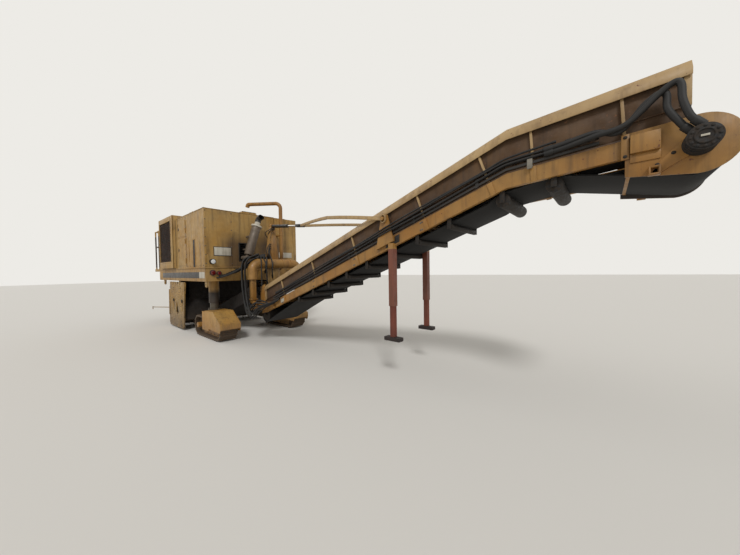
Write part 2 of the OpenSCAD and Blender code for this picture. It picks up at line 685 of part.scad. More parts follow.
module track_frame(x, y) {
    span = track_wheelbase - 420;
    roller_z = chain_depth + 55 + seat;
    bridge_z = collar_z - 100;
    placed() color(yellow) translate([x, y, 0]) difference() {
        union() {
            slabs(-half_base - 40, half_base + 40, 105, 125, track_r - 60, track_r + 60);
            slabs(-span / 2 - 60, span / 2 + 60, 90, 105, roller_z - 40, track_r);
            slab(-380, 380, -105, 105, track_r - 60, track_r + 60);
            slab(-200, 200, -cheek_y - 15, cheek_y + 15, track_r - 60, track_r + 60);
            both_sides() across(cheek_y, cheek_y + 20) polygon([[-240, track_r - 70], [240, track_r - 70],
                [220, bridge_z + 20], [-220, bridge_z + 20]]);
            slab(-220, 220, -cheek_y - 20, cheek_y + 20, bridge_z, bridge_z + 60);
            translate([0, 0, bridge_z + 60]) cylinder(r = 160, h = collar_z - bridge_z - 60 - seat);
            translate([0, 0, bridge_z + 60]) cylinder(r = kingpin_r, h = 155);
            both_sides() cross_bar(-half_base, track_r, 75, 105, cheek_y);
        }
        for (side = [-1, 1]) cross_bar(side * half_base, track_r, 35 + seat, -130, 130);
        for (i = [0 : roller_count - 1]) cross_bar(-span / 2 + i * span / (roller_count - 1), roller_z, 20 + seat, -130, 130);
    }
}

// Cover over the front half of a front track.
module fender(x, y) {
    t = 8;
    half = cheek_y + 20;
    top = track_r + 485;
    tip = half_base + track_r + 95;
    outer = [[-20, track_r + 90], [30, top], [half_base - 75, top + 8], [tip - 5, track_r + 185], [tip, track_r + 60], [tip - 40, track_r - 40], [300, track_r - 10]];
    inner = [[-60, track_r - 80], [-20, top - t], [half_base - 79, top + 8 - t], [tip - 5 - t, track_r + 181], [tip - t, track_r - 80]];
    placed() color(yellow) translate([x, y, 0]) difference() {
        across(-half - t, half + t) polygon(outer);
        across(-half, half) polygon(inner);
    }
}

module front_left_track_frame() {
    track_frame(0, front_gauge_half);
    fender(0, front_gauge_half);
}

module front_left_track_chain() {
    track_chain(0, front_gauge_half);
}

module front_left_track_wheels() {
    track_wheels(0, front_gauge_half);
}

module front_right_track_frame() {
    track_frame(0, -front_gauge_half);
    fender(0, -front_gauge_half);
}

module front_right_track_chain() {
    track_chain(0, -front_gauge_half);
}

module front_right_track_wheels() {
    track_wheels(0, -front_gauge_half);
}

module rear_left_track_frame() {
    track_frame(rear_leg_x, rear_gauge_half);
}

module rear_left_track_chain() {
    track_chain(rear_leg_x, rear_gauge_half);
}

module rear_left_track_wheels() {
    track_wheels(rear_leg_x, rear_gauge_half);
}

module rear_right_track_frame() {
    track_frame(rear_leg_x, -rear_gauge_half);
}

module rear_right_track_chain() {
    track_chain(rear_leg_x, -rear_gauge_half);
}

module rear_right_track_wheels() {
    track_wheels(rear_leg_x, -rear_gauge_half);
}

lift_pin_r = 40;
leg_half = 60;

module gantry() {
    hub_z = frame_bottom_z + 335;
    placed() color(yellow) {
        translate([slew_x, 0, frame_bottom_z - 130]) cylinder(r = 90 - seat, h = cross_tube_z - frame_bottom_z + 130);
        translate([slew_x, 0, frame_bottom_z - 130]) cylinder(r = 150, h = 65 - seat);
        translate([slew_x, 0, hub_z + seat]) cylinder(r = 175, h = cross_tube_z - hub_z);
        slab(slew_x, pivot_x, -150, 150, cross_tube_z - 70, cross_tube_z + 70);
        cross_bar(pivot_x, cross_tube_z, cross_tube_r, -gantry_leg_y - leg_half, gantry_leg_y + leg_half);
        both_sides() {
            slab(pivot_x - leg_half, pivot_x + leg_half, gantry_leg_y - leg_half, gantry_leg_y + leg_half,
                pivot_z - 90, cross_tube_z);
            cross_bar(pivot_x, pivot_z, lift_pin_r, conveyor_half_w + 2, gantry_leg_y);
            cross_bar(pivot_x, pivot_z, 75, gantry_leg_y - leg_half - 5, gantry_leg_y);
        }
        difference() {
            along(slew_x - 60, slew_x + 60) polygon([[-220, cross_tube_z], [160, cross_tube_z], [60, mast_pin_z + 60], [-60, mast_pin_z + 60]]);
            slab(slew_x - 61, slew_x + 61, -35, 35, mast_pin_z - 160, mast_pin_z + 61);
        }
        cross_bar(slew_x, mast_pin_z, 25, -70, 70);
    }
}

bracket_y = conveyor_half_w + 34;
rib_x = [2600, 3800, 5000, 6400, 7350, 7950, 8700];

module conveyor_rails() {
    web = 12;
    plate_out = conveyor_half_w + 30;
    low = rail_drop + rail_depth;
    placed() color(yellow) {
        both_sides() {
            difference() {
                across(conveyor_half_w - 60, conveyor_half_w) conveyor_strip(tail_x, head_pulley_x - 330, rail_drop, low);
                across(conveyor_half_w - 70, conveyor_half_w - web)
                    conveyor_strip(tail_x - 1, head_pulley_x - 329, rail_drop + web, low - web);
            }
            difference() {
                across(conveyor_half_w, plate_out) polygon(concat(arc([pivot_x, pivot_z], 110, 75, 270, 10),
                    [[tail_x + 250, skirt_z(tail_x + 250) - low], [tail_x + 500, skirt_z(tail_x + 500) - low],
                    [tail_x + 400, skirt_z(tail_x + 400) - rail_drop]]));
                cross_bar(pivot_x, pivot_z, lift_pin_r + seat, 500, 700);
            }
            // brackets that take the yoke's eyes, outside the tubes
            across(bracket_y, bracket_y + 20) polygon([[yoke_eye_x - 60, yoke_eye_z + 60], [yoke_eye_x + 60, yoke_eye_z + 60],
                [yoke_eye_x + 180, skirt_z(yoke_eye_x + 180) - rail_drop - 100], [yoke_eye_x - 180, skirt_z(yoke_eye_x - 180) - rail_drop - 100]]);
            across(conveyor_half_w - 6, bracket_y + 1) conveyor_strip(yoke_eye_x - 170, yoke_eye_x + 170, rail_drop + 20, rail_drop + 100);
            cross_bar(yoke_eye_x, yoke_eye_z, 30, bracket_y + 1, yoke_half_w + 45);
            // tail pulley arms
            across(conveyor_half_w - 42, conveyor_half_w - 12) polygon([tail_pulley + [-60, -60], tail_pulley + [-60, 60],
                [tail_x + 200, skirt_z(tail_x + 200) - rail_drop - web], [tail_x + 200, skirt_z(tail_x + 200) - low + web]]);
        }
        for (x = [tail_x + 700, 3900, 5200, 6500, 8300])
            across(-conveyor_half_w + 6, conveyor_half_w - 6) conveyor_strip(x, x + 80, rail_drop + 70, rail_drop + 130);
        stand_sleeves();
    }
}

stand_half = 50;

module stand_sleeves() {
    top = skirt_z(stand_x) - rail_drop - rail_depth;
    both_sides() difference() {
        slab(stand_x - stand_half, stand_x + stand_half, conveyor_half_w - stand_half, conveyor_half_w + stand_half,
            stand_sleeve_z, top + 60);
        slab(stand_x - stand_half + 10, stand_x + stand_half - 10, conveyor_half_w - stand_half + 10,
            conveyor_half_w + stand_half - 10, stand_sleeve_z - 1, top - 30);
    }
}

module conveyor_skirts() {
    plate = 10;
    skirt_y = conveyor_half_w - 35;
    placed() color(dark) {
        both_sides() {
            across(skirt_y, skirt_y + plate) conveyor_strip(tail_x, skirt_end_x, 0, rail_drop - seat);
            across(skirt_y - 25, skirt_y + 55) conveyor_strip(tail_x, skirt_end_x, 0, plate);
            for (x = concat([tail_x, skirt_end_x - 10], rib_x))
                across(skirt_y, skirt_y + 35) conveyor_strip(x, x + 10, 0, rail_drop - seat);
        }
    }
}

module conveyor_tubes() {
    skirt_y = conveyor_half_w - 35;
    x0 = tail_x + 430;
    x1 = head_pulley_x - 700;
    placed() color(dark) both_sides() {
        for (d = [rail_drop - 40, rail_drop - 95])
            across(skirt_y + 36, skirt_y + 62) conveyor_strip(x0, x1, d - 14, d + 14);
        for (x = rib_x) if (x < x1)
            across(skirt_y + 35 + seat, skirt_y + 64) conveyor_strip(x - 15, x + 25, rail_drop - 120, rail_drop - 15);
    }
}

module conveyor_belt() {
    placed() color(rubber) across(-belt_half_w, belt_half_w) difference() {
        polygon(bent_loop(tail_pulley, boom_bend, head_pulley, belt_r, low_slope, high_slope));
        polygon(bent_loop(tail_pulley, boom_bend, head_pulley, belt_r - belt_t, low_slope, high_slope));
    }
}

module conveyor_idlers() {
    carry_r = 50;
    pulley_r = (belt_r - belt_t) * cos(90 / 14) - seat;
    shaft_y = conveyor_half_w - 40;
    placed() color(steel) {
        // Pulleys: centre, half length of the shaft
        for (row = [[tail_pulley, conveyor_half_w - 42 - seat], [head_pulley, conveyor_half_w + 20]]) let (p = row[0]) {
            cross_bar(p[0], p[1], pulley_r, -belt_half_w + 10, belt_half_w - 10);
            cross_bar(p[0], p[1], pulley_shaft_r, -row[1], row[1]);
        }
        for (i = [0 : 9]) let (x = tail_x + 350 + i * 680, s = x < bend_x ? low_slope : high_slope,
                c = [x, belt_z(x) + (belt_r - belt_t - carry_r - 1) / cos(s)]) {
            cross_bar(c[0], c[1], carry_r, -belt_half_w + 20, belt_half_w - 20);
            cross_bar(c[0], c[1], 12, -shaft_y + 20, shaft_y - 20);
            both_sides() slab(x - 25, x + 25, shaft_y - 32, shaft_y - 6, skirt_z(x + 25) - rail_drop + seat, c[1] + 20);
        }
        // return idlers on hangers under the rails
        for (x = [3300, 4700, 6300, 7500, 8500]) let (z = belt_z(x) - (belt_r + 46) / cos(x < bend_x ? low_slope : high_slope)) {
            cross_bar(x, z, 45, -belt_half_w, belt_half_w);
            cross_bar(x, z, 12, -shaft_y, shaft_y);
            both_sides() slab(x - 30, x + 30, shaft_y - 8, shaft_y + 8, z - 30, skirt_z(x - 30) - rail_drop - rail_depth - seat);
        }
    }
}

module conveyor_head() {
    hx = head_pulley[0];
    hz = head_pulley[1];
    y0 = conveyor_half_w;
    placed() color(yellow) {
        both_sides() {
            difference() {
                across(y0 + seat, y0 + 20) polygon(concat(
                    [[hx - 600, skirt_z(hx - 600) - rail_drop - 20], [hx - 1150, skirt_z(hx - 1150) - rail_drop - 20]],
                    [[hx - 1150, hz - 500], [hx - 130, hz - 500]], arc([hx, hz - 10], nose_r, -45, 90, 10)));
                cross_bar(hx, hz, pulley_shaft_r + seat, 0, 1000);
            }
            across(y0 + 20, y0 + 34) polygon([[hx - 560, hz - 380], [hx - 440, hz - 440], [hx + 100, hz - 60], [hx - 20, hz + 80]]);
            slab(hx - 900, hx - 550, y0 + 20, y0 + 80, hz - 190, hz - 20);
        }
        across(-y0 - 20, y0 + 20) polygon([[hx - 1600, hz - 520], [hx - 200, hz - 520], [hx - 40, hz - 450], [hx - 60, hz - 430],
            [hx - 210, hz - 500], [hx - 1600, hz - 500]]);
        cross_bar(hx - 60, hz, 140, -y0 - 180, -y0 - 20 - seat);
    }
}

module stand(side) {
    placed() color(rust) translate([stand_x, side * conveyor_half_w, 0]) {
        half = stand_half - 10 - seat;
        translate([-half, -half, stand_foot_z + 50]) cube([2 * half, 2 * half, stand_sleeve_z + 200 - stand_foot_z]);
        translate([-150, -60, stand_foot_z]) cube([300, 120, 60]);
    }
}

module left_stand() {
    stand(1);
}

module right_stand() {
    stand(-1);
}

link_pitch = atan2(mast_pin_z - yoke_eye_z, yoke_eye_x - slew_x);
link_len = norm([yoke_eye_x - slew_x, mast_pin_z - yoke_eye_z]);

// Draws along x from the mast's pin towards the yoke's eyes.
module along_link() {
    placed() translate([slew_x, 0, mast_pin_z]) rotate([0, link_pitch, 0]) children();
}

module lift_barrel() {
    along_link() color(dark) difference() {
        union() {
            cross_bar(0, 0, 45, -30, 30);
            slab(0, 110, -28, 28, -35, 35);
            translate([90, 0, 0]) rotate([0, 90, 0]) cylinder(r = 45, h = barrel_len - 90);
        }
        cross_bar(0, 0, 25 + seat, -40, 40);
        translate([120, 0, 0]) rotate([0, 90, 0]) cylinder(r = 22 + seat, h = barrel_len);
    }
}

module lift_rod() {
    clevis = 1440;
    knee = 3010;
    rise = 90;
    arm_h = 60;
    inner = yoke_half_w - 20;
    outer = yoke_half_w + 20;
    drift = 19;
    along_link() color(yellow) difference() {
        union() {
            translate([360, 0, 0]) rotate([0, 90, 0]) cylinder(r = 22, h = clevis - 360);
            slab(clevis - 220, clevis + 60, -50, 50, -40, 40);
            // the yoke's arms: their plan is cut to an arched side view
            intersection() {
                both_sides() translate([0, 0, -200]) linear_extrude(500) polygon([[clevis, 0], [clevis + 60, 0],
                    [knee, inner], [link_len, inner], [link_len, outer], [knee - 20, outer], [clevis, 50]]);
                across(-outer - 1, outer + 1) polygon([[clevis, -arm_h / 2], [knee, rise - arm_h / 2],
                    [link_len, -arm_h / 2], [link_len, arm_h / 2], [knee, rise + arm_h / 2], [clevis, arm_h / 2]]);
            }
            both_sides() across(inner, outer) translate([link_len, 0]) slot(arm_h, drift);
        }
        // upright slots, in which the eyes' pins move a little as the conveyor lifts
        both_sides() across(inner - 1, outer + 1) translate([link_len - 2, 0]) slot(30 + 5, drift);
    }
}

main_frame();
lift_legs();
enclosure();
engine_block();
radiator_housing();
radiator_grilles();
fuel_tank();
rear_platform();
control_console();
muffler();
gooseneck_pipe();
lamps();
tie_down_lugs();
drum_housing();
pickup_conveyor();
pickup_belt();
front_left_track_frame();
front_left_track_chain();
front_left_track_wheels();
front_right_track_frame();
front_right_track_chain();
front_right_track_wheels();
rear_left_track_frame();
rear_left_track_chain();
rear_left_track_wheels();
rear_right_track_frame();
rear_right_track_chain();
rear_right_track_wheels();
cutter_drum();
left_side_plate();
right_side_plate();
moldboard();
left_door();
right_upper_door();
right_lower_door();
gantry();
conveyor_rails();
conveyor_skirts();
conveyor_tubes();
conveyor_belt();
conveyor_idlers();
conveyor_head();
left_stand();
right_stand();
lift_barrel();
lift_rod();
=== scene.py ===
"""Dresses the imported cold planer: weathered paint, hoses, lamps, plates, fasteners and its studio.

Lengths in the dataclasses are millimetres by station, as in the part's source: x forward from the front
legs' axis, y left, z up from the ground. at() turns them into the row frame's metres.
"""

import logging
import math
import random
from dataclasses import dataclass
from enum import Enum
from typing import Dict, Iterable, List, Optional, Sequence, Tuple, Union

import bmesh
import bpy
from mathutils import Matrix, Vector


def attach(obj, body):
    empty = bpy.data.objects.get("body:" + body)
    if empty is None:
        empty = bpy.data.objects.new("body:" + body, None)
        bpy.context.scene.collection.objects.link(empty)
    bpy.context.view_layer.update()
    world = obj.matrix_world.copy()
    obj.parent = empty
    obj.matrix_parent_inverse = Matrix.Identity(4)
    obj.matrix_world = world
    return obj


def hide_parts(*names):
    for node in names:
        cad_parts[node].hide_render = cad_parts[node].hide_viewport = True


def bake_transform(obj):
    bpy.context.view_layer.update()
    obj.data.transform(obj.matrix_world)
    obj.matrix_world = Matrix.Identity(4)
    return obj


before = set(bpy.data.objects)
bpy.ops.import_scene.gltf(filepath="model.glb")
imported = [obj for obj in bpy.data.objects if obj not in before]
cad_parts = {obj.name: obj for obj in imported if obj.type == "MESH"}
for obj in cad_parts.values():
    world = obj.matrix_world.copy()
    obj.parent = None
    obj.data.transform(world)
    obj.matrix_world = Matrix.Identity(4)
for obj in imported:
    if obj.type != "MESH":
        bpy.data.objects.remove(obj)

LOG = logging.getLogger("planer")
SHIFT_X = -2035.0
MM = 0.001
Point = Tuple[float, float, float]
Pair = Tuple[float, float]
Across = Tuple[str, str, Vector, Vector]
Colour = Union[str, bpy.types.NodeSocket]
SIDES = (("left", 1), ("right", -1))

# The conveyor's lines, shared by the classes that dress it: its two slopes, the station and height at which
# the skirts' top bends, its ends, the head pulley's axis, and the drops from there to the rail.
LOW_TAN = math.tan(math.radians(19.24))
HIGH_TAN = math.tan(math.radians(3.6))
BEND_X = 7700.0
BEND_Z = 3549.0
TAIL_X = 1870.0
END_X = 9185.0
HEAD = (9225.0, 2897.6)
PULLEY_DROP = 747.3
RAIL_DROP = 540.0
RAIL_LOW = 714.0
HALF_W = 550.0


def at(x: float, y: float, z: float) -> Vector:
    """A point by station, side and height in millimetres, in the row frame's metres."""
    return Vector(((x + SHIFT_X) * MM, y * MM, z * MM))


def skirt_z(x: float) -> float:
    """Height in millimetres of the skirts' top at station x."""
    return BEND_Z + (x - BEND_X) * (LOW_TAN if x < BEND_X else HIGH_TAN)


def belt_z(x: float) -> float:
    """Height in millimetres of the line through the conveyor's pulleys at station x."""
    return skirt_z(x) - PULLEY_DROP


def linear(hex_colour: str) -> Tuple[float, float, float, float]:
    """Turns an sRGB hex colour into linear RGBA."""
    parts = [int(hex_colour[i:i + 2], 16) / 255 for i in (1, 3, 5)]
    return tuple(p / 12.92 if p <= 0.04045 else ((p + 0.055) / 1.055) ** 2.4 for p in parts) + (1.0,)


def add(tree: bpy.types.NodeTree, kind: str, links: Optional[Dict] = None, values: Optional[Dict] = None,
        **settings: object) -> bpy.types.Node:
    """Adds a shader node.

    Args:
        tree: the node tree.
        kind: the node's type name without its ShaderNode prefix.
        links: input name or number to the output socket that feeds it.
        values: input name or number to a constant.
        settings: attributes of the node.

    Returns:
        The new node.
    """
    node = tree.nodes.new("ShaderNode" + kind)
    for key, value in settings.items():
        setattr(node, key, value)
    for key, value in (values or {}).items():
        node.inputs[key].default_value = value
    for key, socket in (links or {}).items():
        tree.links.new(socket, node.inputs[key])
    return node


@dataclass(frozen=True)
class Patch:
    """A box of another colour on a finish: corners and soft edge in metres, y taken without its sign."""

    low: Point
    high: Point
    colour: str
    soft: float = 0.002


@dataclass(frozen=True)
class Finish:
    """A surface finish: how its material is named, what its shader starts from and the slot it goes by."""

    name: str
    colour: str
    roughness: float = 0.6
    metallic: float = 0.0
    slot: str = "paint_yellow"

    def material(self) -> bpy.types.Material:
        """The finish's material, built once.

        Returns:
            The material.
        """
        found = bpy.data.materials.get(self.name)
        if found:
            return found
        made = bpy.data.materials.new(self.name)
        made.use_nodes = True
        made.diffuse_color = linear(self.colour)
        tree = made.node_tree
        tree.nodes.clear()
        shader = add(tree, "BsdfPrincipled", values={"Base Color": linear(self.colour),
                                                     "Roughness": self.roughness, "Metallic": self.metallic})
        out = add(tree, "OutputMaterial", links={"Surface": shader.outputs["BSDF"]})
        out.location = (400, 0)
        self.dress(tree, shader)
        return made

    def dress(self, tree: bpy.types.NodeTree, shader: bpy.types.Node) -> None:
        """Adds the pattern of the finish. A plain finish has none.

        Args:
            tree: the material's node tree.
            shader: its principled shader.
        """

    def noise(self, tree: bpy.types.NodeTree, scale: float, stretch: Point = (1, 1, 1),
              detail: float = 4.0) -> bpy.types.NodeSocket:
        """A noise pattern with scale cells a metre, stretched per axis.

        Args:
            tree: the material's node tree.
            scale: cells a metre.
            stretch: the scale of each axis.
            detail: how many finer layers it has.

        Returns:
            The pattern's value.
        """
        coords = add(tree, "TexCoord")
        place = add(tree, "Mapping", links={0: coords.outputs["Object"]}, values={"Scale": stretch})
        return add(tree, "TexNoise", links={"Vector": place.outputs[0]},
                   values={"Scale": scale, "Detail": detail, "Roughness": 0.6}).outputs["Fac"]

    def ramp(self, tree: bpy.types.NodeTree, source: bpy.types.NodeSocket, low: float, high: float,
             to_low: float = 0.0, to_high: float = 1.0) -> bpy.types.NodeSocket:
        """Maps source from low..high to to_low..to_high, held at the ends."""
        return add(tree, "MapRange", links={0: source},
                   values={1: low, 2: high, 3: to_low, 4: to_high}).outputs[0]

    def times(self, tree: bpy.types.NodeTree, a: bpy.types.NodeSocket,
              b: bpy.types.NodeSocket) -> bpy.types.NodeSocket:
        """The product of two sockets."""
        return add(tree, "Math", links={0: a, 1: b}, operation="MULTIPLY").outputs[0]

    def mix(self, tree: bpy.types.NodeTree, factor: bpy.types.NodeSocket, a: Colour,
            b: Colour) -> bpy.types.NodeSocket:
        """Mixes two colours, each a socket or a hex colour, by factor.

        Args:
            tree: the material's node tree.
            factor: how much of b shows.
            a: the colour at nought.
            b: the colour at one.

        Returns:
            The mixed colour.
        """
        node = add(tree, "Mix", links={0: factor}, data_type="RGBA")
        for index, value in ((6, a), (7, b)):
            if isinstance(value, str):
                node.inputs[index].default_value = linear(value)
            else:
                tree.links.new(value, node.inputs[index])
        return node.outputs[2]

    def bump(self, tree: bpy.types.NodeTree, shader: bpy.types.Node, height: bpy.types.NodeSocket,
             depth: float) -> None:
        """Feeds the shader's normal from a height of depth metres."""
        node = add(tree, "Bump", links={"Height": height}, values={"Strength": 0.6, "Distance": depth})
        tree.links.new(node.outputs[0], shader.inputs["Normal"])

    def mask(self, tree: bpy.types.NodeTree, patch: Patch) -> bpy.types.NodeSocket:
        """One inside the patch's box and nought outside.

        Args:
            tree: the material's node tree.
            patch: the box.

        Returns:
            The mask's value.
        """
        place = add(tree, "SeparateXYZ", links={0: add(tree, "TexCoord").outputs["Object"]})
        side = add(tree, "Math", links={0: place.outputs[1]}, operation="ABSOLUTE").outputs[0]
        inside = None
        for socket, a, b in zip((place.outputs[0], side, place.outputs[2]), patch.low, patch.high):
            middle, half = (a + b) / 2, (b - a) / 2
            gap = add(tree, "Math", links={0: socket}, values={1: middle}, operation="SUBTRACT").outputs[0]
            gap = add(tree, "Math", links={0: gap}, operation="ABSOLUTE").outputs[0]
            near = self.ramp(tree, gap, half + patch.soft, half)
            inside = near if inside is None else self.times(tree, inside, near)
        return inside


@dataclass(frozen=True)
class WeatheredPaint(Finish):
    """Sprayed machine enamel, faded by the sun, streaked by rain and chipped to rust."""

    faded: str = "#A98A54"
    grime: str = "#3A2C1C"
    rust: str = "#5A2F1B"
    dust: str = "#6E5A48"
    streaks: float = 0.55
    chips: float = 0.655
    dust_top: float = 1.2
    patches: Tuple[Patch, ...] = ()

    def dress(self, tree: bpy.types.NodeTree, shader: bpy.types.Node) -> None:
        """Fading in patches of 1 m, streaks 60 mm wide, chips of 20 mm and dust up to dust_top.

        Args:
            tree: the material's node tree.
            shader: its principled shader.
        """
        fade = self.ramp(tree, self.noise(tree, 1.1), 0.36, 0.68)
        base = self.mix(tree, fade, self.colour, self.faded)
        for patch in self.patches:
            base = self.mix(tree, self.mask(tree, patch), base, patch.colour)
        mottle = self.ramp(tree, self.noise(tree, 3.5, (1, 1, 1), 8.0), 0.45, 0.8, 0.0, 0.35)
        base = self.mix(tree, mottle, base, self.grime)
        run = self.ramp(tree, self.noise(tree, 7.0, (1.6, 1.6, 0.14), 5.0), 0.5, 0.72, 0.0, self.streaks)
        soiled = self.mix(tree, run, base, self.grime)
        stain = self.ramp(tree, self.noise(tree, 2.4, (1, 1, 0.6), 8.0), 0.58, 0.72, 0.0, 0.55)
        stained = self.mix(tree, stain, soiled, self.grime)
        spots = self.ramp(tree, self.noise(tree, 24.0, (1, 1, 1), 6.0), self.chips, self.chips + 0.04)
        worn = add(tree, "Math", links={0: spots, 1: self.edges(tree)}, operation="MAXIMUM").outputs[0]
        chipped = self.mix(tree, worn, stained, self.rust)
        height = add(tree, "SeparateXYZ", links={0: add(tree, "TexCoord").outputs["Object"]}).outputs[2]
        low = self.ramp(tree, height, self.dust_top, 0.1, 0.0, 0.85)
        cloud = self.ramp(tree, self.noise(tree, 5.0), 0.3, 0.7, 0.35, 1.0)
        dusty = self.mix(tree, self.times(tree, low, cloud), chipped, self.dust)
        tree.links.new(dusty, shader.inputs["Base Color"])
        tree.links.new(self.ramp(tree, self.noise(tree, 9.0), 0.3, 0.7, self.roughness - 0.12,
                                 self.roughness + 0.15), shader.inputs["Roughness"])
        self.bump(tree, shader, self.noise(tree, 6.0, (1, 1, 1), 3.0), 0.004)

    def edges(self, tree: bpy.types.NodeTree) -> bpy.types.NodeSocket:
        """How far a place is an edge within 8 mm, broken up by noise.

        Args:
            tree: the material's node tree.

        Returns:
            One on a worn edge and nought elsewhere.
        """
        soft = add(tree, "Bevel", values={"Radius": 0.008}, samples=3)
        plain = add(tree, "NewGeometry")
        turn = add(tree, "VectorMath", links={0: soft.outputs[0], 1: plain.outputs["Normal"]},
                   operation="DOT_PRODUCT").outputs["Value"]
        sharp = self.ramp(tree, turn, 0.97, 0.86)
        return self.times(tree, sharp, self.ramp(tree, self.noise(tree, 16.0), 0.48, 0.62))


@dataclass(frozen=True)
class Metal(Finish):
    """Rolled, cast or machined steel with a mottled oxide skin."""

    metallic: float = 0.75
    slot: str = "bare_steel"
    oxide: str = "#5A4334"
    cover: float = 0.5
    grain: float = 30.0

    def dress(self, tree: bpy.types.NodeTree, shader: bpy.types.Node) -> None:
        """Oxide in blotches over the metal, which is duller where it is oxidised.

        Args:
            tree: the material's node tree.
            shader: its principled shader.
        """
        blotch = self.ramp(tree, self.noise(tree, self.grain, (1, 1, 1), 6.0), self.cover - 0.1,
                           self.cover + 0.1)
        tree.links.new(self.mix(tree, blotch, self.colour, self.oxide), shader.inputs["Base Color"])
        tree.links.new(self.ramp(tree, blotch, 0, 1, self.roughness, 0.85), shader.inputs["Roughness"])
        tree.links.new(self.ramp(tree, blotch, 0, 1, self.metallic, 0.1), shader.inputs["Metallic"])
        self.bump(tree, shader, self.noise(tree, 60.0), 0.0015)


@dataclass(frozen=True)
class Rubber(Finish):
    """Moulded rubber, greyed by dust in its hollows."""

    slot: str = "belt_rubber"
    dust: str = "#4A4238"
    haze: float = 0.55

    def dress(self, tree: bpy.types.NodeTree, shader: bpy.types.Node) -> None:
        """A haze of dust in patches of 0.2 m and a fine moulded grain.

        Args:
            tree: the material's node tree.
            shader: its principled shader.
        """
        haze = self.ramp(tree, self.noise(tree, 5.0, (1, 1, 1), 6.0), 0.42, 0.75, 0.0, self.haze)
        tree.links.new(self.mix(tree, haze, self.colour, self.dust), shader.inputs["Base Color"])
        self.bump(tree, shader, self.noise(tree, 140.0), 0.0008)


@dataclass(frozen=True)
class Glow(Finish):
    """A moulded lens with a ribbed back that catches the light."""

    slot: str = "red_lens"

    def dress(self, tree: bpy.types.NodeTree, shader: bpy.types.Node) -> None:
        """Rings 6 mm apart under a clear face.

        Args:
            tree: the material's node tree.
            shader: its principled shader.
        """
        wave = add(tree, "TexWave", links={"Vector": add(tree, "TexCoord").outputs["Object"]},
                   values={"Scale": 26.0}).outputs["Fac"]
        self.bump(tree, shader, wave, 0.001)
        shader.inputs["Coat Weight"].default_value = 0.6


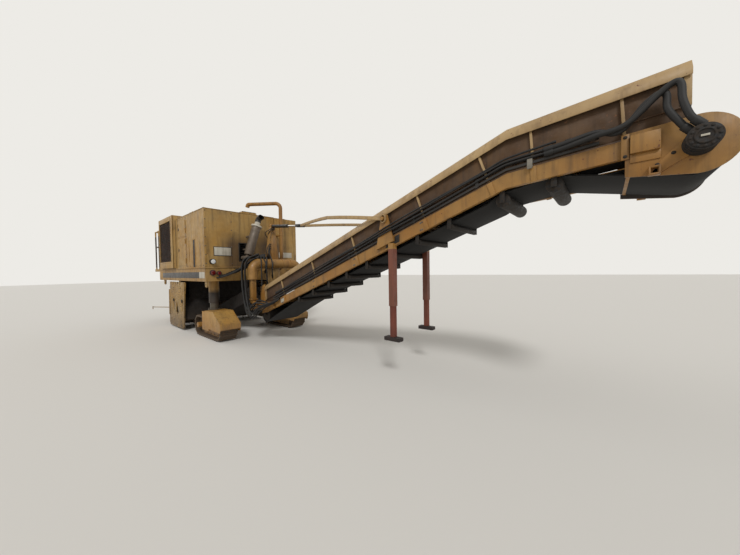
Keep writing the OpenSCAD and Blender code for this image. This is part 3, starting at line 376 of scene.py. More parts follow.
class Paint(Enum):
    """The finishes of the machine, each named for what the real one is."""

    # Construction yellow enamel, two decades in the sun: mustard with chalky patches.
    YELLOW = WeatheredPaint("sun_faded_yellow_enamel", "#A27A38", 0.55, patches=(
        Patch((-1.72, 0.2, 2.0), (-1.55, 0.8, 2.7), "#61492A", 0.35),
        Patch((-7.1, 1.40, 2.1), (-5.83, 1.70, 3.3), "#3A2E20")))
    # The frame's enamel, with the greasy lower ends of the leg sleeves.
    CHASSIS = WeatheredPaint("frame_yellow_enamel", "#9A7334", 0.55, faded="#A3824E", patches=(
        Patch((-2.22, 0.95, 0.9), (-1.85, 1.30, 1.28), "#1E1813", 0.12),
        Patch((-6.66, 0.5, 0.9), (-6.3, 0.85, 1.28), "#1E1813", 0.12)))
    # Fenders and track guards: the same enamel, brighter where the shoes throw grit over it.
    FENDER = WeatheredPaint("grit_worn_fender_enamel", "#A8772C", 0.5, faded="#B08A4A", grime="#4A3A26",
                            dust="#7A6048", dust_top=0.7, chips=0.63)
    # The enamel on the conveyor's rails, with the stands' rusted sleeves under them and, in dark brown-black,
    # painted shade on the inner faces of the head's plates.
    BOOM = WeatheredPaint("conveyor_yellow_enamel", "#93662A", 0.5, faded="#9C763E", dust_top=0.5, patches=(
        Patch((3.885, 0.49, 1.2), (4.005, 0.61, 2.2), "#74402E"),
        # Painted shade: the inner faces of the head's end plates, dark brown-black.
        Patch((6.727, 0.5, 2.5), (7.5, 0.5575, 3.2), "#241A12")))
    # The skirts' folded cap, bleached by the sun.
    CAP = WeatheredPaint("bleached_cap_enamel", "#A1845A", 0.55, faded="#B09468", grime="#6A5236",
                         dust_top=0.2)
    # The skirts' faces: old enamel under a brown skin of milled asphalt, darkened further with painted shade
    # under the cap.
    SKIRT = WeatheredPaint("asphalt_browned_and_shaded_skirt", "#46301C", 0.7, slot="paint_dark", faded="#5C4226",
                           grime="#231913", rust="#6A452A", chips=0.64, dust_top=0.5)
    # The underside: enamel long gone under caked bitumen and dust, darkened to near black with painted shade
    # under the body.
    CAKED = WeatheredPaint("bitumen_caked_and_painted_shade_underside", "#17120E", 0.9, faded="#221B15", grime="#0D0B09",
                           rust="#38281C", dust="#3E342B", dust_top=0.8)
    # The cutter's side plates: yellow on top, scraped dark towards the cut.
    PLATE_STEEL = WeatheredPaint("scraped_side_plate_enamel", "#A07A3A", 0.6, faded="#A98C58",
                                 grime="#2E2620", rust="#33261E", dust="#4E443C", dust_top=0.95, chips=0.55)
    # Engine bay, console and cylinder: black chassis paint gone grey.
    BLACK = WeatheredPaint("black_chassis_paint", "#1A1816", 0.5, slot="paint_dark", faded="#2A2622",
                           grime="#0F0E0D", rust="#3A281C", dust="#4A4138", dust_top=0.8)
    # Primed square tube that has rusted all over.
    RUST = WeatheredPaint("rusted_red_primer", "#6A3224", 0.8, faded="#7A4230", grime="#2E1C16",
                          rust="#3E241A", dust_top=0.2, patches=(
                              Patch((3.7, 0.4, 0.6), (4.2, 0.7, 0.765), "#231D1A"),))
    # The band round the frame, sprayed warm grey.
    BAND = WeatheredPaint("warm_grey_band_paint", "#4C4A48", 0.6, slot="dull_grey", faded="#5C5955",
                          grime="#2E2A26", dust_top=0.4)
    # Muffler skin: aluminised sheet burnt brown.
    MUFFLER = WeatheredPaint("burnt_aluminised_sheet", "#5A4F44", 0.55, 0.2, "dull_grey", faded="#6E6255",
                             grime="#2E261F", rust="#5E3C28", chips=0.6, dust_top=0.2)
    # Turned and ground steel under an oil film.
    STEEL = Metal("oiled_machined_steel", "#6E6A62", 0.35, cover=0.55)
    # The legs' inner tubes, greased, with the red lift cylinders beside them.
    LEG = WeatheredPaint("greased_leg_tube", "#3A342C", 0.4, faded="#5A5040", grime="#17130F", rust="#2A211A",
                         dust_top=0.9, patches=(
                             Patch((-2.345, 0.9, 0.95), (-2.225, 1.3, 1.7), "#6E1F17"),
                             Patch((-6.795, 0.5, 0.95), (-6.675, 0.9, 1.7), "#6E1F17")))
    # Cast and forged track and drum parts, polished only where they rub.
    CAST = Metal("cast_track_iron", "#4A443E", 0.55, slot="cast_iron", oxide="#5A4835", cover=0.46)
    # Idlers, hangers and pulleys, black with grease and fines.
    GREASE = Metal("greased_idler_steel", "#100E0D", 0.6, metallic=0.2, oxide="#2C231A", cover=0.5)
    # Hard chromed cylinder rods.
    CHROME = Metal("hard_chrome_rod", "#C8C6C2", 0.12, metallic=1.0, cover=0.9)
    # Sheet and mesh behind the louvres, black and matt.
    GRILLE = WeatheredPaint("matt_black_grille", "#241E19", 0.75, slot="paint_dark", faded="#3A2F26",
                            grime="#171411", dust_top=0.2)
    # Conveyor belting.
    BELT = Rubber("conveyor_belting", "#0A0908", 0.9, dust="#171310")
    # Hydraulic hose with a wrapped cover.
    HOSE = Rubber("hydraulic_hose_cover", "#0D0C0B", 0.65, dust="#231E19", haze=0.4)
    # Tail lamp lens, red acrylic.
    LENS = Glow("red_acrylic_lens", "#5E0D0A", 0.15)
    # Work lamp's glass over its reflector.
    GLASS = Glow("clear_lamp_glass", "#D8DAD8", 0.1)
    # Blank plates and labels, sun-bleached vinyl.
    PLATE = WeatheredPaint("bleached_vinyl_plate", "#ABA595", 0.5, slot="dull_grey", faded="#C4BEB0",
                           grime="#7A6E5A", rust="#8A7A60", chips=0.7, dust_top=0.2)
    # Woven strap that ties the tubes to the rail.
    STRAP = Rubber("grey_webbing_strap", "#8A857A", 0.8, dust="#4A443C", haze=0.9)
    # The studio's floor, pale grey concrete with a matt seal.
    FLOOR = Finish("studio_floor", "#D9D6D0", 0.9)

    def put_on(self, obj: bpy.types.Object) -> bpy.types.Object:
        """Gives every slot of obj this finish.

        Args:
            obj: a mesh.

        Returns:
            The same mesh.
        """
        obj.data.materials.clear()
        obj.data.materials.append(self.value.material())
        return obj


TRACKS = ("front_left_track", "front_right_track", "rear_left_track", "rear_right_track")
CAD_FINISH: Dict[Paint, Sequence[str]] = {
    Paint.YELLOW: ("enclosure", "fuel_tank", "rear_platform", "tie_down_lugs", "left_door",
                   "right_upper_door", "right_lower_door"),
    Paint.CHASSIS: ("main_frame",),
    Paint.FENDER: tuple(f"{track}_frame" for track in TRACKS),
    # Drum housing, pick-up conveyor and moldboard: caked bitumen darkened with painted shade.
    Paint.CAKED: ("drum_housing", "pickup_conveyor", "moldboard"),
    Paint.BOOM: ("conveyor_rails",),
    Paint.BLACK: ("engine_block", "control_console", "lift_barrel", "conveyor_tubes"),
    Paint.RUST: ("left_stand", "right_stand"),
    Paint.LEG: ("lift_legs",),
    Paint.CAST: ("cutter_drum", *(f"{track}_{part}" for part in ("chain", "wheels") for track in TRACKS)),
    Paint.BELT: ("pickup_belt",),
    Paint.LENS: ("lamps",),
}


def deselect() -> None:
    """Leaves nothing selected."""
    bpy.ops.object.select_all(action="DESELECT")


def only(obj: bpy.types.Object) -> None:
    """Selects obj alone and makes it active.

    Args:
        obj: the object.
    """
    deselect()
    obj.select_set(True)
    bpy.context.view_layer.objects.active = obj


def settle(obj: bpy.types.Object) -> bpy.types.Object:
    """Moves obj's place into its mesh, so that its object sits at the origin.

    Args:
        obj: a mesh.

    Returns:
        The same mesh.
    """
    only(obj)
    bpy.ops.object.transform_apply(location=True, rotation=True, scale=True)
    return obj


def soften(obj: bpy.types.Object, radius: float, angle: float = 50.0) -> None:
    """Bevels obj's edges that turn by more than angle degrees.

    Args:
        obj: a mesh at its final size.
        radius: the bevel's width in metres.
        angle: the least turn of an edge in degrees.
    """
    only(obj)
    bevel = obj.modifiers.new("edge", "BEVEL")
    bevel.width = radius
    bevel.segments = 2
    bevel.angle_limit = math.radians(angle)
    bpy.ops.object.modifier_apply(modifier=bevel.name)
    bpy.ops.object.shade_smooth_by_angle(angle=math.radians(35))


def block(name: str, low: Point, high: Point, edge: float = 4.0) -> bpy.types.Object:
    """A bevelled block between two corners in millimetres, whose sides may come in either order.

    Args:
        name: the piece's name.
        low: one corner.
        high: the corner across.
        edge: the bevel in millimetres.

    Returns:
        The block.
    """
    near, far = sorted((low[1], high[1]))
    a, b = at(low[0], near, low[2]), at(high[0], far, high[2])
    deselect()
    bpy.ops.mesh.primitive_cube_add(size=1, location=(a + b) / 2)
    obj = bpy.context.object
    obj.name = name
    obj.scale = b - a
    settle(obj)
    soften(obj, edge * MM)
    return obj


def swept(name: str, outline: Sequence[Vector], moves: Sequence[Vector],
          edge: float = 3.0) -> bpy.types.Object:
    """A solid drawn from a flat outline along one move after another.

    Args:
        name: the piece's name.
        outline: the outline's corners in metres, in order.
        moves: the ways that the outline moves, in metres.
        edge: the bevel in millimetres.

    Returns:
        The bevelled solid.
    """
    deselect()
    bpy.ops.mesh.primitive_circle_add(vertices=len(outline), fill_type="NGON", radius=1)
    obj = bpy.context.object
    obj.name = name
    for vertex, place in zip(obj.data.vertices, outline):
        vertex.co = place
    bpy.ops.object.mode_set(mode="EDIT")
    bpy.ops.mesh.select_all(action="SELECT")
    for move in moves:
        bpy.ops.mesh.extrude_region_move(TRANSFORM_OT_translate={"value": tuple(move)})
    bpy.ops.mesh.select_all(action="SELECT")
    bpy.ops.mesh.normals_make_consistent(inside=False)
    bpy.ops.object.mode_set(mode="OBJECT")
    settle(obj)
    soften(obj, edge * MM, 40)
    return obj


def profile(name: str, outline: Sequence[Pair], y0: float, y1: float,
            edge: float = 3.0) -> bpy.types.Object:
    """A plate cut to an outline of station and height, from side y0 to y1, in millimetres."""
    return swept(name, [at(x, y0, z) for x, z in outline], [Vector((0, (y1 - y0) * MM, 0))], edge)


def strip(name: str, x0: float, x1: float, y0: float, y1: float, d0: float, d1: float,
          edge: float = 3.0) -> bpy.types.Object:
    """A strip along the conveyor between drops d0 and d1 under the skirts' top, bent with it.

    Args:
        name: the piece's name.
        x0: the station where it begins.
        x1: the station where it ends.
        y0: one side.
        y1: the other side.
        d0: the drop of its top.
        d1: the drop of its foot.
        edge: the bevel.

    Returns:
        The strip.
    """
    stations = [x0] + ([BEND_X] if x0 < BEND_X < x1 else []) + [x1]
    outline = [(x, skirt_z(x) - d0) for x in stations] + [(x, skirt_z(x) - d1) for x in reversed(stations)]
    return profile(name, outline, y0, y1, edge)


def cross_strip(name: str, x: float, width: float, y0: float, y1: float, d0: float, d1: float,
                edge: float = 3.0) -> bpy.types.Object:
    """A plate square to the conveyor's slope, from drop d0 to d1 at station x of the skirts' top.

    Args:
        name: the piece's name.
        x: the station of its middle.
        width: its width along the conveyor.
        y0: one side.
        y1: the other side.
        d0: the drop of its top.
        d1: the drop of its foot.
        edge: the bevel.

    Returns:
        The plate.
    """
    slope = math.atan(LOW_TAN if x < BEND_X else HIGH_TAN)
    lean = math.sin(slope) * math.cos(slope)
    outline = []
    for dx, drop in ((-width / 2, d0), (width / 2, d0), (width / 2, d1), (-width / 2, d1)):
        place = x + dx + lean * drop
        outline.append((place, skirt_z(place) - drop))
    return profile(name, outline, y0, y1, edge)


def runner(name: str, section: Sequence[Pair], x0: float, x1: float,
           edge: float = 2.0) -> bpy.types.Object:
    """A folded section of side and drop, drawn along the conveyor from station x0 to x1.

    Args:
        name: the piece's name.
        section: the section's corners, side and drop.
        x0: the station where it begins.
        x1: the station where it ends.
        edge: the bevel in millimetres.

    Returns:
        The section's solid.
    """
    stations = [x0, BEND_X, x1]
    moves = [at(b, 0, skirt_z(b)) - at(a, 0, skirt_z(a)) for a, b in zip(stations, stations[1:])]
    return swept(name, [at(x0, y, skirt_z(x0) - drop) for y, drop in section], moves, edge)


def fan(start: float, end: float, steps: int = 14) -> List[float]:
    """Angles in radians from start to end in degrees."""
    return [math.radians(start + (end - start) * i / steps) for i in range(steps + 1)]


def oval(x: float, z: float, radius: float, stretch: float) -> List[Pair]:
    """An upright slot's outline: a round top at z and a round foot that much lower."""
    half = [math.pi * i / 14 for i in range(15)]
    return ([(x + radius * math.cos(a), z + radius * math.sin(a)) for a in half]
            + [(x - radius * math.cos(a), z - stretch - radius * math.sin(a)) for a in half])


def cut(obj: bpy.types.Object, cutters: Sequence[bpy.types.Object]) -> bpy.types.Object:
    """Takes the cutters out of obj; they go.

    Args:
        obj: the mesh that is cut.
        cutters: closed meshes.

    Returns:
        The same mesh.
    """
    for cutter in cutters:
        only(obj)
        knife = obj.modifiers.new("cut", "BOOLEAN")
        knife.operation = "DIFFERENCE"
        knife.object = cutter
        bpy.ops.object.modifier_apply(modifier=knife.name)
        bpy.data.objects.remove(cutter)
    return obj


def bar(name: str, start: Vector, end: Vector, radius: float, sides: int = 24, edge: float = 2.0,
        recess: float = 0.0) -> bpy.types.Object:
    """A round bar between two points in metres, with turned ends.

    Args:
        name: the piece's name.
        start: one end.
        end: the other end.
        radius: in millimetres.
        sides: how many sides it has.
        edge: the bevel in millimetres.
        recess: the depth of a dished end in millimetres.

    Returns:
        The bar.
    """
    axis = end - start
    deselect()
    bpy.ops.mesh.primitive_cylinder_add(vertices=sides, radius=radius * MM, depth=axis.length,
                                        location=(start + end) / 2)
    obj = bpy.context.object
    obj.name = name
    obj.rotation_euler = axis.to_track_quat("Z", "Y").to_euler()
    if recess:
        bpy.ops.object.mode_set(mode="EDIT")
        mesh = bmesh.from_edit_mesh(obj.data)
        for face in mesh.faces:
            face.select_set(len(face.verts) == sides and face.normal.z > 0.5)
        bmesh.update_edit_mesh(obj.data)
        bpy.ops.mesh.inset(thickness=radius * MM * 0.22)
        bpy.ops.mesh.extrude_region_move(TRANSFORM_OT_translate={
            "value": obj.rotation_euler.to_matrix() @ Vector((0, 0, -recess * MM))})
        bpy.ops.object.mode_set(mode="OBJECT")
    settle(obj)
    soften(obj, edge * MM, 40)
    return obj


def smooth_path(points: Sequence[Vector], steps: int = 6) -> List[Vector]:
    """A smooth line through points, with steps parts between neighbours.

    Args:
        points: the places it runs through.
        steps: how many parts lie between two of them.

    Returns:
        The line's points.
    """
    ends = [2 * points[0] - points[1], *points, 2 * points[-1] - points[-2]]
    path = []
    for a, b, c, d in zip(ends, ends[1:], ends[2:], ends[3:]):
        for i in range(steps):
            t = i / steps
            path.append(0.5 * (2 * b + (c - a) * t + (2 * a - 5 * b + 4 * c - d) * t * t
                               + (3 * b - a - 3 * c + d) * t ** 3))
    return path + [points[-1]]


def hose(name: str, points: Sequence[Point], radius: float, ends: float = 1.35, smooth: bool = True,
         capped: bool = True, round_: int = 3) -> bpy.types.Object:
    """A hose or pipe through points in millimetres, with a crimped ferrule at each end.

    Args:
        name: the piece's name.
        points: the route, by station, side and height.
        radius: in millimetres.
        ends: the ferrules' radius as a multiple of the hose's, or 0 for none.
        smooth: whether the route is a smooth curve.
        capped: whether its ends are closed.
        round_: how finely it is round.

    Returns:
        The hose with its ferrules, as one mesh.
    """
    route = [at(*p) for p in points]
    path = smooth_path(route) if smooth else route
    curve = bpy.data.curves.new(name, "CURVE")
    curve.dimensions = "3D"
    curve.bevel_depth = radius * MM
    curve.bevel_resolution = round_
    curve.use_fill_caps = capped
    spline = curve.splines.new("POLY")
    spline.points.add(len(path) - 1)
    for point, place in zip(spline.points, path):
        point.co = (*place, 1)
    obj = bpy.data.objects.new(name, curve)
    bpy.context.collection.objects.link(obj)
    only(obj)
    bpy.ops.object.convert(target="MESH")
    obj = bpy.context.object
    bpy.ops.object.shade_smooth()
    if ends:
        grip = radius * 3.2 * MM
        caps = [bar(name + "_cap", a, a + (b - a).normalized() * grip, radius * ends, 14, 1.0)
                for a, b in ((path[0], path[1]), (path[-1], path[-2]))]
        obj = join(name, [obj, *caps])
    return obj


def rounded(points: Sequence[Point], bend: float, steps: int = 10) -> List[Point]:
    """A route whose inner corners are arcs of radius bend, all in millimetres.

    Args:
        points: the route's corners.
        bend: the arcs' radius.
        steps: the parts of an arc.

    Returns:
        The route's points.
    """
    route = [tuple(points[0])]
    for before, corner, after in zip(points, points[1:], points[2:]):
        corner = Vector(corner)
        back, ahead = (Vector(before) - corner).normalized(), (Vector(after) - corner).normalized()
        half = back.angle(ahead) / 2
        reach, axis = bend / math.tan(half), (back + ahead).normalized()
        centre = corner + axis * bend / math.sin(half)
        start = corner + back * reach - centre
        span = math.pi - 2 * half
        normal = start.cross(corner + ahead * reach - centre).normalized()
        turns = [Matrix.Rotation(span * i / steps, 3, normal) for i in range(steps + 1)]
        route += [tuple(centre + turn @ start) for turn in turns]
    return route + [tuple(points[-1])]


def thicken(obj: bpy.types.Object, wall: float) -> None:
    """Gives a surface a wall of that many millimetres on its inner side.

    Args:
        obj: an open mesh.
        wall: the wall.
    """
    only(obj)
    skin = obj.modifiers.new("wall", "SOLIDIFY")
    skin.thickness = wall * MM
    skin.offset = -1
    bpy.ops.object.modifier_apply(modifier=skin.name)


def pipe(name: str, points: Sequence[Point], radius: float, bend: float,
         wall: float = 5.0) -> bpy.types.Object:
    """An open-ended pipe with round bends.

    Args:
        name: the piece's name.
        points: the corners of its centre line in millimetres.
        radius: its outer radius in millimetres.
        bend: the bends' radius in millimetres.
        wall: its wall in millimetres.

    Returns:
        The pipe.
    """
    obj = hose(name, rounded(points, bend), radius, ends=0, smooth=False, capped=False, round_=6)
    thicken(obj, wall)
    bpy.ops.object.shade_smooth_by_angle(angle=math.radians(40))
    return obj


def join(name: str, objects: Sequence[bpy.types.Object]) -> bpy.types.Object:
    """Joins objects into one piece of that name.

    Args:
        name: the piece's name.
        objects: meshes; the first takes in the others.

    Returns:
        The piece.
    """
    deselect()
    for obj in objects:
        obj.select_set(True)
    bpy.context.view_layer.objects.active = objects[0]
    if len(objects) > 1:
        bpy.ops.object.join()
    objects[0].name = name
    objects[0].data.name = name
    return objects[0]


def repeat(name: str, master: bpy.types.Object, places: Iterable[Matrix]) -> bpy.types.Object:
    """Copies a master piece to each place and joins the copies; the master goes.

    Args:
        name: the piece's name.
        master: the mesh that is copied.
        places: where copies go.

    Returns:
        The piece.
    """
    copies = []
    for place in places:
        copy = master.copy()
        copy.data = master.data.copy()
        copy.data.transform(place)
        bpy.context.collection.objects.link(copy)
        copies.append(copy)
    bpy.data.objects.remove(master)
    return join(name, copies)


def hex_bolt(radius: float, height: float) -> bpy.types.Object:
    """A hexagon head on its washer, standing on the origin along +X, sizes in millimetres.

    Args:
        radius: of the head.
        height: of the head.

    Returns:
        The bolt.
    """
    head = bar("bolt", Vector((0, 0, 0)), Vector((height * MM, 0, 0)), radius, 6, 1.0)
    washer = bar("washer", Vector((-0.0005, 0, 0)), Vector((0.003, 0, 0)), radius * 1.45, 14, 0.5)
    return join("bolt", [head, washer])


def bolts(name: str, places: Sequence[Point], normal: Point, radius: float = 11,
          height: float = 9) -> bpy.types.Object:
    """Bolt heads on a face.

    Args:
        name: the piece's name.
        places: points on the face in millimetres.
        normal: the way that the face looks.
        radius: of the heads in millimetres.
        height: of the heads in millimetres.

    Returns:
        The heads as one mesh.
    """
    turn = Vector(normal).to_track_quat("X", "Z").to_matrix().to_4x4()
    return repeat(name, hex_bolt(radius, height), [Matrix.Translation(at(*p)) @ turn for p in places])


class Assembly:
    """A sub-assembly: its pieces ride on one CAD body and are logged as they are made."""

    body = "chassis"

    def keep(self, name: str, parts: Sequence[bpy.types.Object], paint: Paint, slot: str = "", body: str = "",
             instead: Sequence[str] = (), across: Optional[Across] = None) -> None:
        """Joins parts into one piece, paints it and lets it ride on its body, or bakes it in place when it
        crosses a joint.

        Args:
            name: the piece's name.
            parts: what it is made of.
            paint: its finish.
            slot: the record's material slot, if not the finish's own; it is not used.
            body: the body it rides on, if not the assembly's.
            instead: the CAD nodes that it stands for.
            across: for a hose over a joint, its two bodies and the points between which it crosses; only
                whether it is given is used, and then the hose is baked in place and rides on no body.
        """
        obj = paint.put_on(join(name, parts))
        slot = slot or paint.value.slot
        if across:
            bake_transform(obj)
        else:
            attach(obj, body or self.body)
        if instead:
            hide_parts(*instead)
        LOG.info("%s: %s, %d faces", type(self).__name__, obj.name, len(obj.data.polygons))

    def lay(self, name: str, route: Sequence[Point], radius: float, ends: float = 1.35, body: str = "",
            across: Optional[Across] = None) -> None:
        """Keeps a smooth hose along a route; see hose() and keep() for what the values mean."""
        self.keep(name, [hose(name, route, radius, ends)], Paint.HOSE, body=body, across=across)

    def fasten(self, name: str, places: Sequence[Point], normal: Point, radius: float = 11, height: float = 9,
               paint: Paint = Paint.STEEL, body: str = "") -> None:
        """Keeps bolt heads on a face; see bolts() and keep() for what the values mean."""
        self.keep(name, [bolts(name, places, normal, radius, height)], paint, body=body)

    def build(self) -> None:
        """Builds the sub-assembly's pieces."""
        raise NotImplementedError


@dataclass
class BodyShell(Assembly):
    """Panels, band, trim, plates and fasteners of the body."""

    half_w: float = 1461
    front_x: float = 407
    door_x: float = -1120
    door_rear_x: float = -2020
    rear_seal_x: float = -2125
    frame_rear_x: float = -4290
    tail_front_x: float = -3921
    deck_z: float = 2030
    roof_z: float = 3620
    tank_y: float = 610
    seam_y: float = -750
    band_low: float = 1713
    band_high: float = 1887
    label_w: float = 480

    def build(self) -> None:
        """Builds the band, the seams, the trim, the plates and the handles."""
        self.bands()
        self.seams()
        self.front_plates()
        self.frame_tail()
        self.side_slot()
        self.roof()
        self.handles()

    def bands(self) -> None:
        """The grey band in the frame's recess on each side, with its blank pale panel at the front."""
        split = self.front_x - self.label_w
        for side, y in (("left", self.half_w - 5.5), ("right", -self.half_w + 0.5)):
            for name, paint, x0, x1 in (("band", Paint.BAND, self.frame_rear_x + 64, split),
                                        ("label", Paint.PLATE, split + 4, self.front_x - 64)):
                sheet = block(name, (x0, y, self.band_low), (x1, y + 5, self.band_high), 1.5)
                self.keep(f"frame_{name}_{side}", [sheet], paint)

    def frame_tail(self) -> None:
        """The frame's beams behind the CAD frame, under the rear deck's edge."""
        tails = [block("tail", (self.frame_rear_x, side * (self.half_w - 220), 1625),
                       (self.tail_front_x, side * self.half_w, 1938), 6) for side in (-1, 1)]
        self.keep("frame_tail_beams", tails, Paint.CHASSIS)

    def seams(self) -> None:
        """Folded joint strips, corner angles and the ledge over the frame, with the panels' bolts."""
        front, side, deck, roof = self.front_x, -self.half_w, self.deck_z, self.roof_z
        door, rear = self.door_x, self.frame_rear_x
        strips = []
        for y, near, far in ((side - 3, side - 21, side + 5), (-side - 5, -side - 5, -side + 21)):
            strips.append(block("seam", (door + 10, y, deck + 12), (door + 60, y + 8, roof - 8), 2))
            strips.append(block("ledge", (rear, near, deck - 34), (front, far, deck - 10), 3))
        for name, low, high in (
                ("ledge", (front - 4, side - 18, deck - 34), (front + 22, -side + 18, deck - 10)),
                ("seam", (front - 3, self.seam_y - 20, deck + 12), (front + 5, self.seam_y + 20, roof - 8)),
                ("seam", (front - 3, side - 3, deck + 6), (front + 6, side + 46, roof + 4)),
                ("seam", (front - 44, side - 4, deck + 6), (front + 6, side + 2, roof + 4)),
                ("drip", (self.door_rear_x + 8, side - 12, roof - 4), (front + 12, side + 30, roof + 8)),
                ("drip", (front - 30, side - 12, roof - 4), (front + 12, self.tank_y - 10, roof + 8))):
            strips.append(block(name, low, high, 2.5))
        self.keep("body_trim", strips, Paint.YELLOW)
        places = [(x, y, z) for x, y in ((front + 6, side + 24), (front + 5, self.seam_y))
                  for z in range(2120, 3600, 240)]
        self.fasten("front_panel_bolts", places, (1, 0, 0))
        for name, turn in (("right", -1), ("left", 1)):
            y = turn * (self.half_w + 3)
            row = [(x, y, deck + 40) for x in range(-1000, 320, 260)] if turn < 0 else []
            row += [(door + 35, y, z) for z in range(2140, 3600, 280)]
            self.fasten(f"{name}_panel_bolts", row, (0, turn, 0))

    def front_plates(self) -> None:
        """Blank plates on the front face and the vent with its frame."""
        x = self.front_x
        for name, paint, low, high, edge in (
                ("front_sign", Paint.BLACK, (x - 2, -1240, 2330), (x + 6, -760, 2590), 3),
                ("front_sign_face", Paint.PLATE, (x + 5, -1222, 2348), (x + 8, -778, 2572), 1),
                ("tank_label", Paint.PLATE, (x - 1, 760, 2330), (x + 2.5, 1240, 2500), 0.8)):
            self.keep(name, [block(name, low, high, edge)], paint)
        vent = [block("vent", (x - 10, y0, z0), (x + 10, y1, z1), 2) for y0, y1, z0, z1 in (
            (-552, -318, 2710, 2736), (-552, -318, 2184, 2210), (-556, -530, 2184, 2736),
            (-340, -314, 2184, 2736))]
        vent += [block("slat", (x - 34, -540, z), (x - 6, -330, z + 6), 1) for z in range(2240, 2700, 52)]
        self.keep("front_vent", vent, Paint.BLACK)

    def side_slot(self) -> None:
        """A dark recessed slot with a folded rim on the right side, and the door's rubber seals."""
        y = -self.half_w
        self.keep("side_slot", [block("slot", (-500, y - 2, 2030), (-330, y + 6, 2825), 2)], Paint.GRILLE)
        rim = [block("rim", (x0, y - 7, z0), (x1, y + 4, 2845), 2) for x0, x1, z0 in (
            (-518, -498, 2040), (-332, -312, 2040), (-518, -312, 2823))]
        self.keep("side_slot_rim", rim, Paint.YELLOW)
        seals = [block("seal", (x - 9, y - 5, 2060), (x + 9, y + 3, self.roof_z - 40), 2)
                 for x in (self.door_x - 2, self.rear_seal_x)]
        self.keep("door_seals", seals, Paint.BLACK)

    def roof(self) -> None:
        """Black hatch plates and two lifting eyes on the roof."""
        roof, side = self.roof_z, -self.half_w
        hatches = [block("hatch", (x0, y0, roof + z0), (x1, y1, roof + z1), 4) for x0, x1, y0, y1, z0, z1 in (
            (-140, 240, -330, 80, 88, 104), (-820, -260, -300, 120, -2, 22),
            (-1300, -960, -900, -500, -2, 16))]
        self.keep("roof_hatches", hatches, Paint.BLACK)
        eyes = [bar("eye", at(x, side + 55, roof + 42), at(x, side + 95, roof + 42), 26, 18, 3)
                for x in (-870, -670)]
        self.keep("roof_lifting_eyes", eyes, Paint.YELLOW)

    def handles(self) -> None:
        """A folding T handle and its dished cup on each door."""
        width = self.door_x - 5 - (self.door_rear_x + 65)
        x = self.door_x - width + 130
        for body, name, side, z in (("right_upper_leaf", "right_upper_handle", -1, 3260),
                                    ("right_lower_leaf", "right_lower_handle", -1, 2600),
                                    ("left_door_leaf", "left_handle", 1, 2800)):
            y = side * self.half_w
            cup = bar("cup", at(x, y - 4 * side, z), at(x, y + 7 * side, z), 44, 28, 2, 3)
            grip = block("grip", (x - 8, y, z - 34), (x + 8, y + 16 * side, z + 34), 4)
            self.keep(name, [cup, grip], Paint.STEEL, body=body)


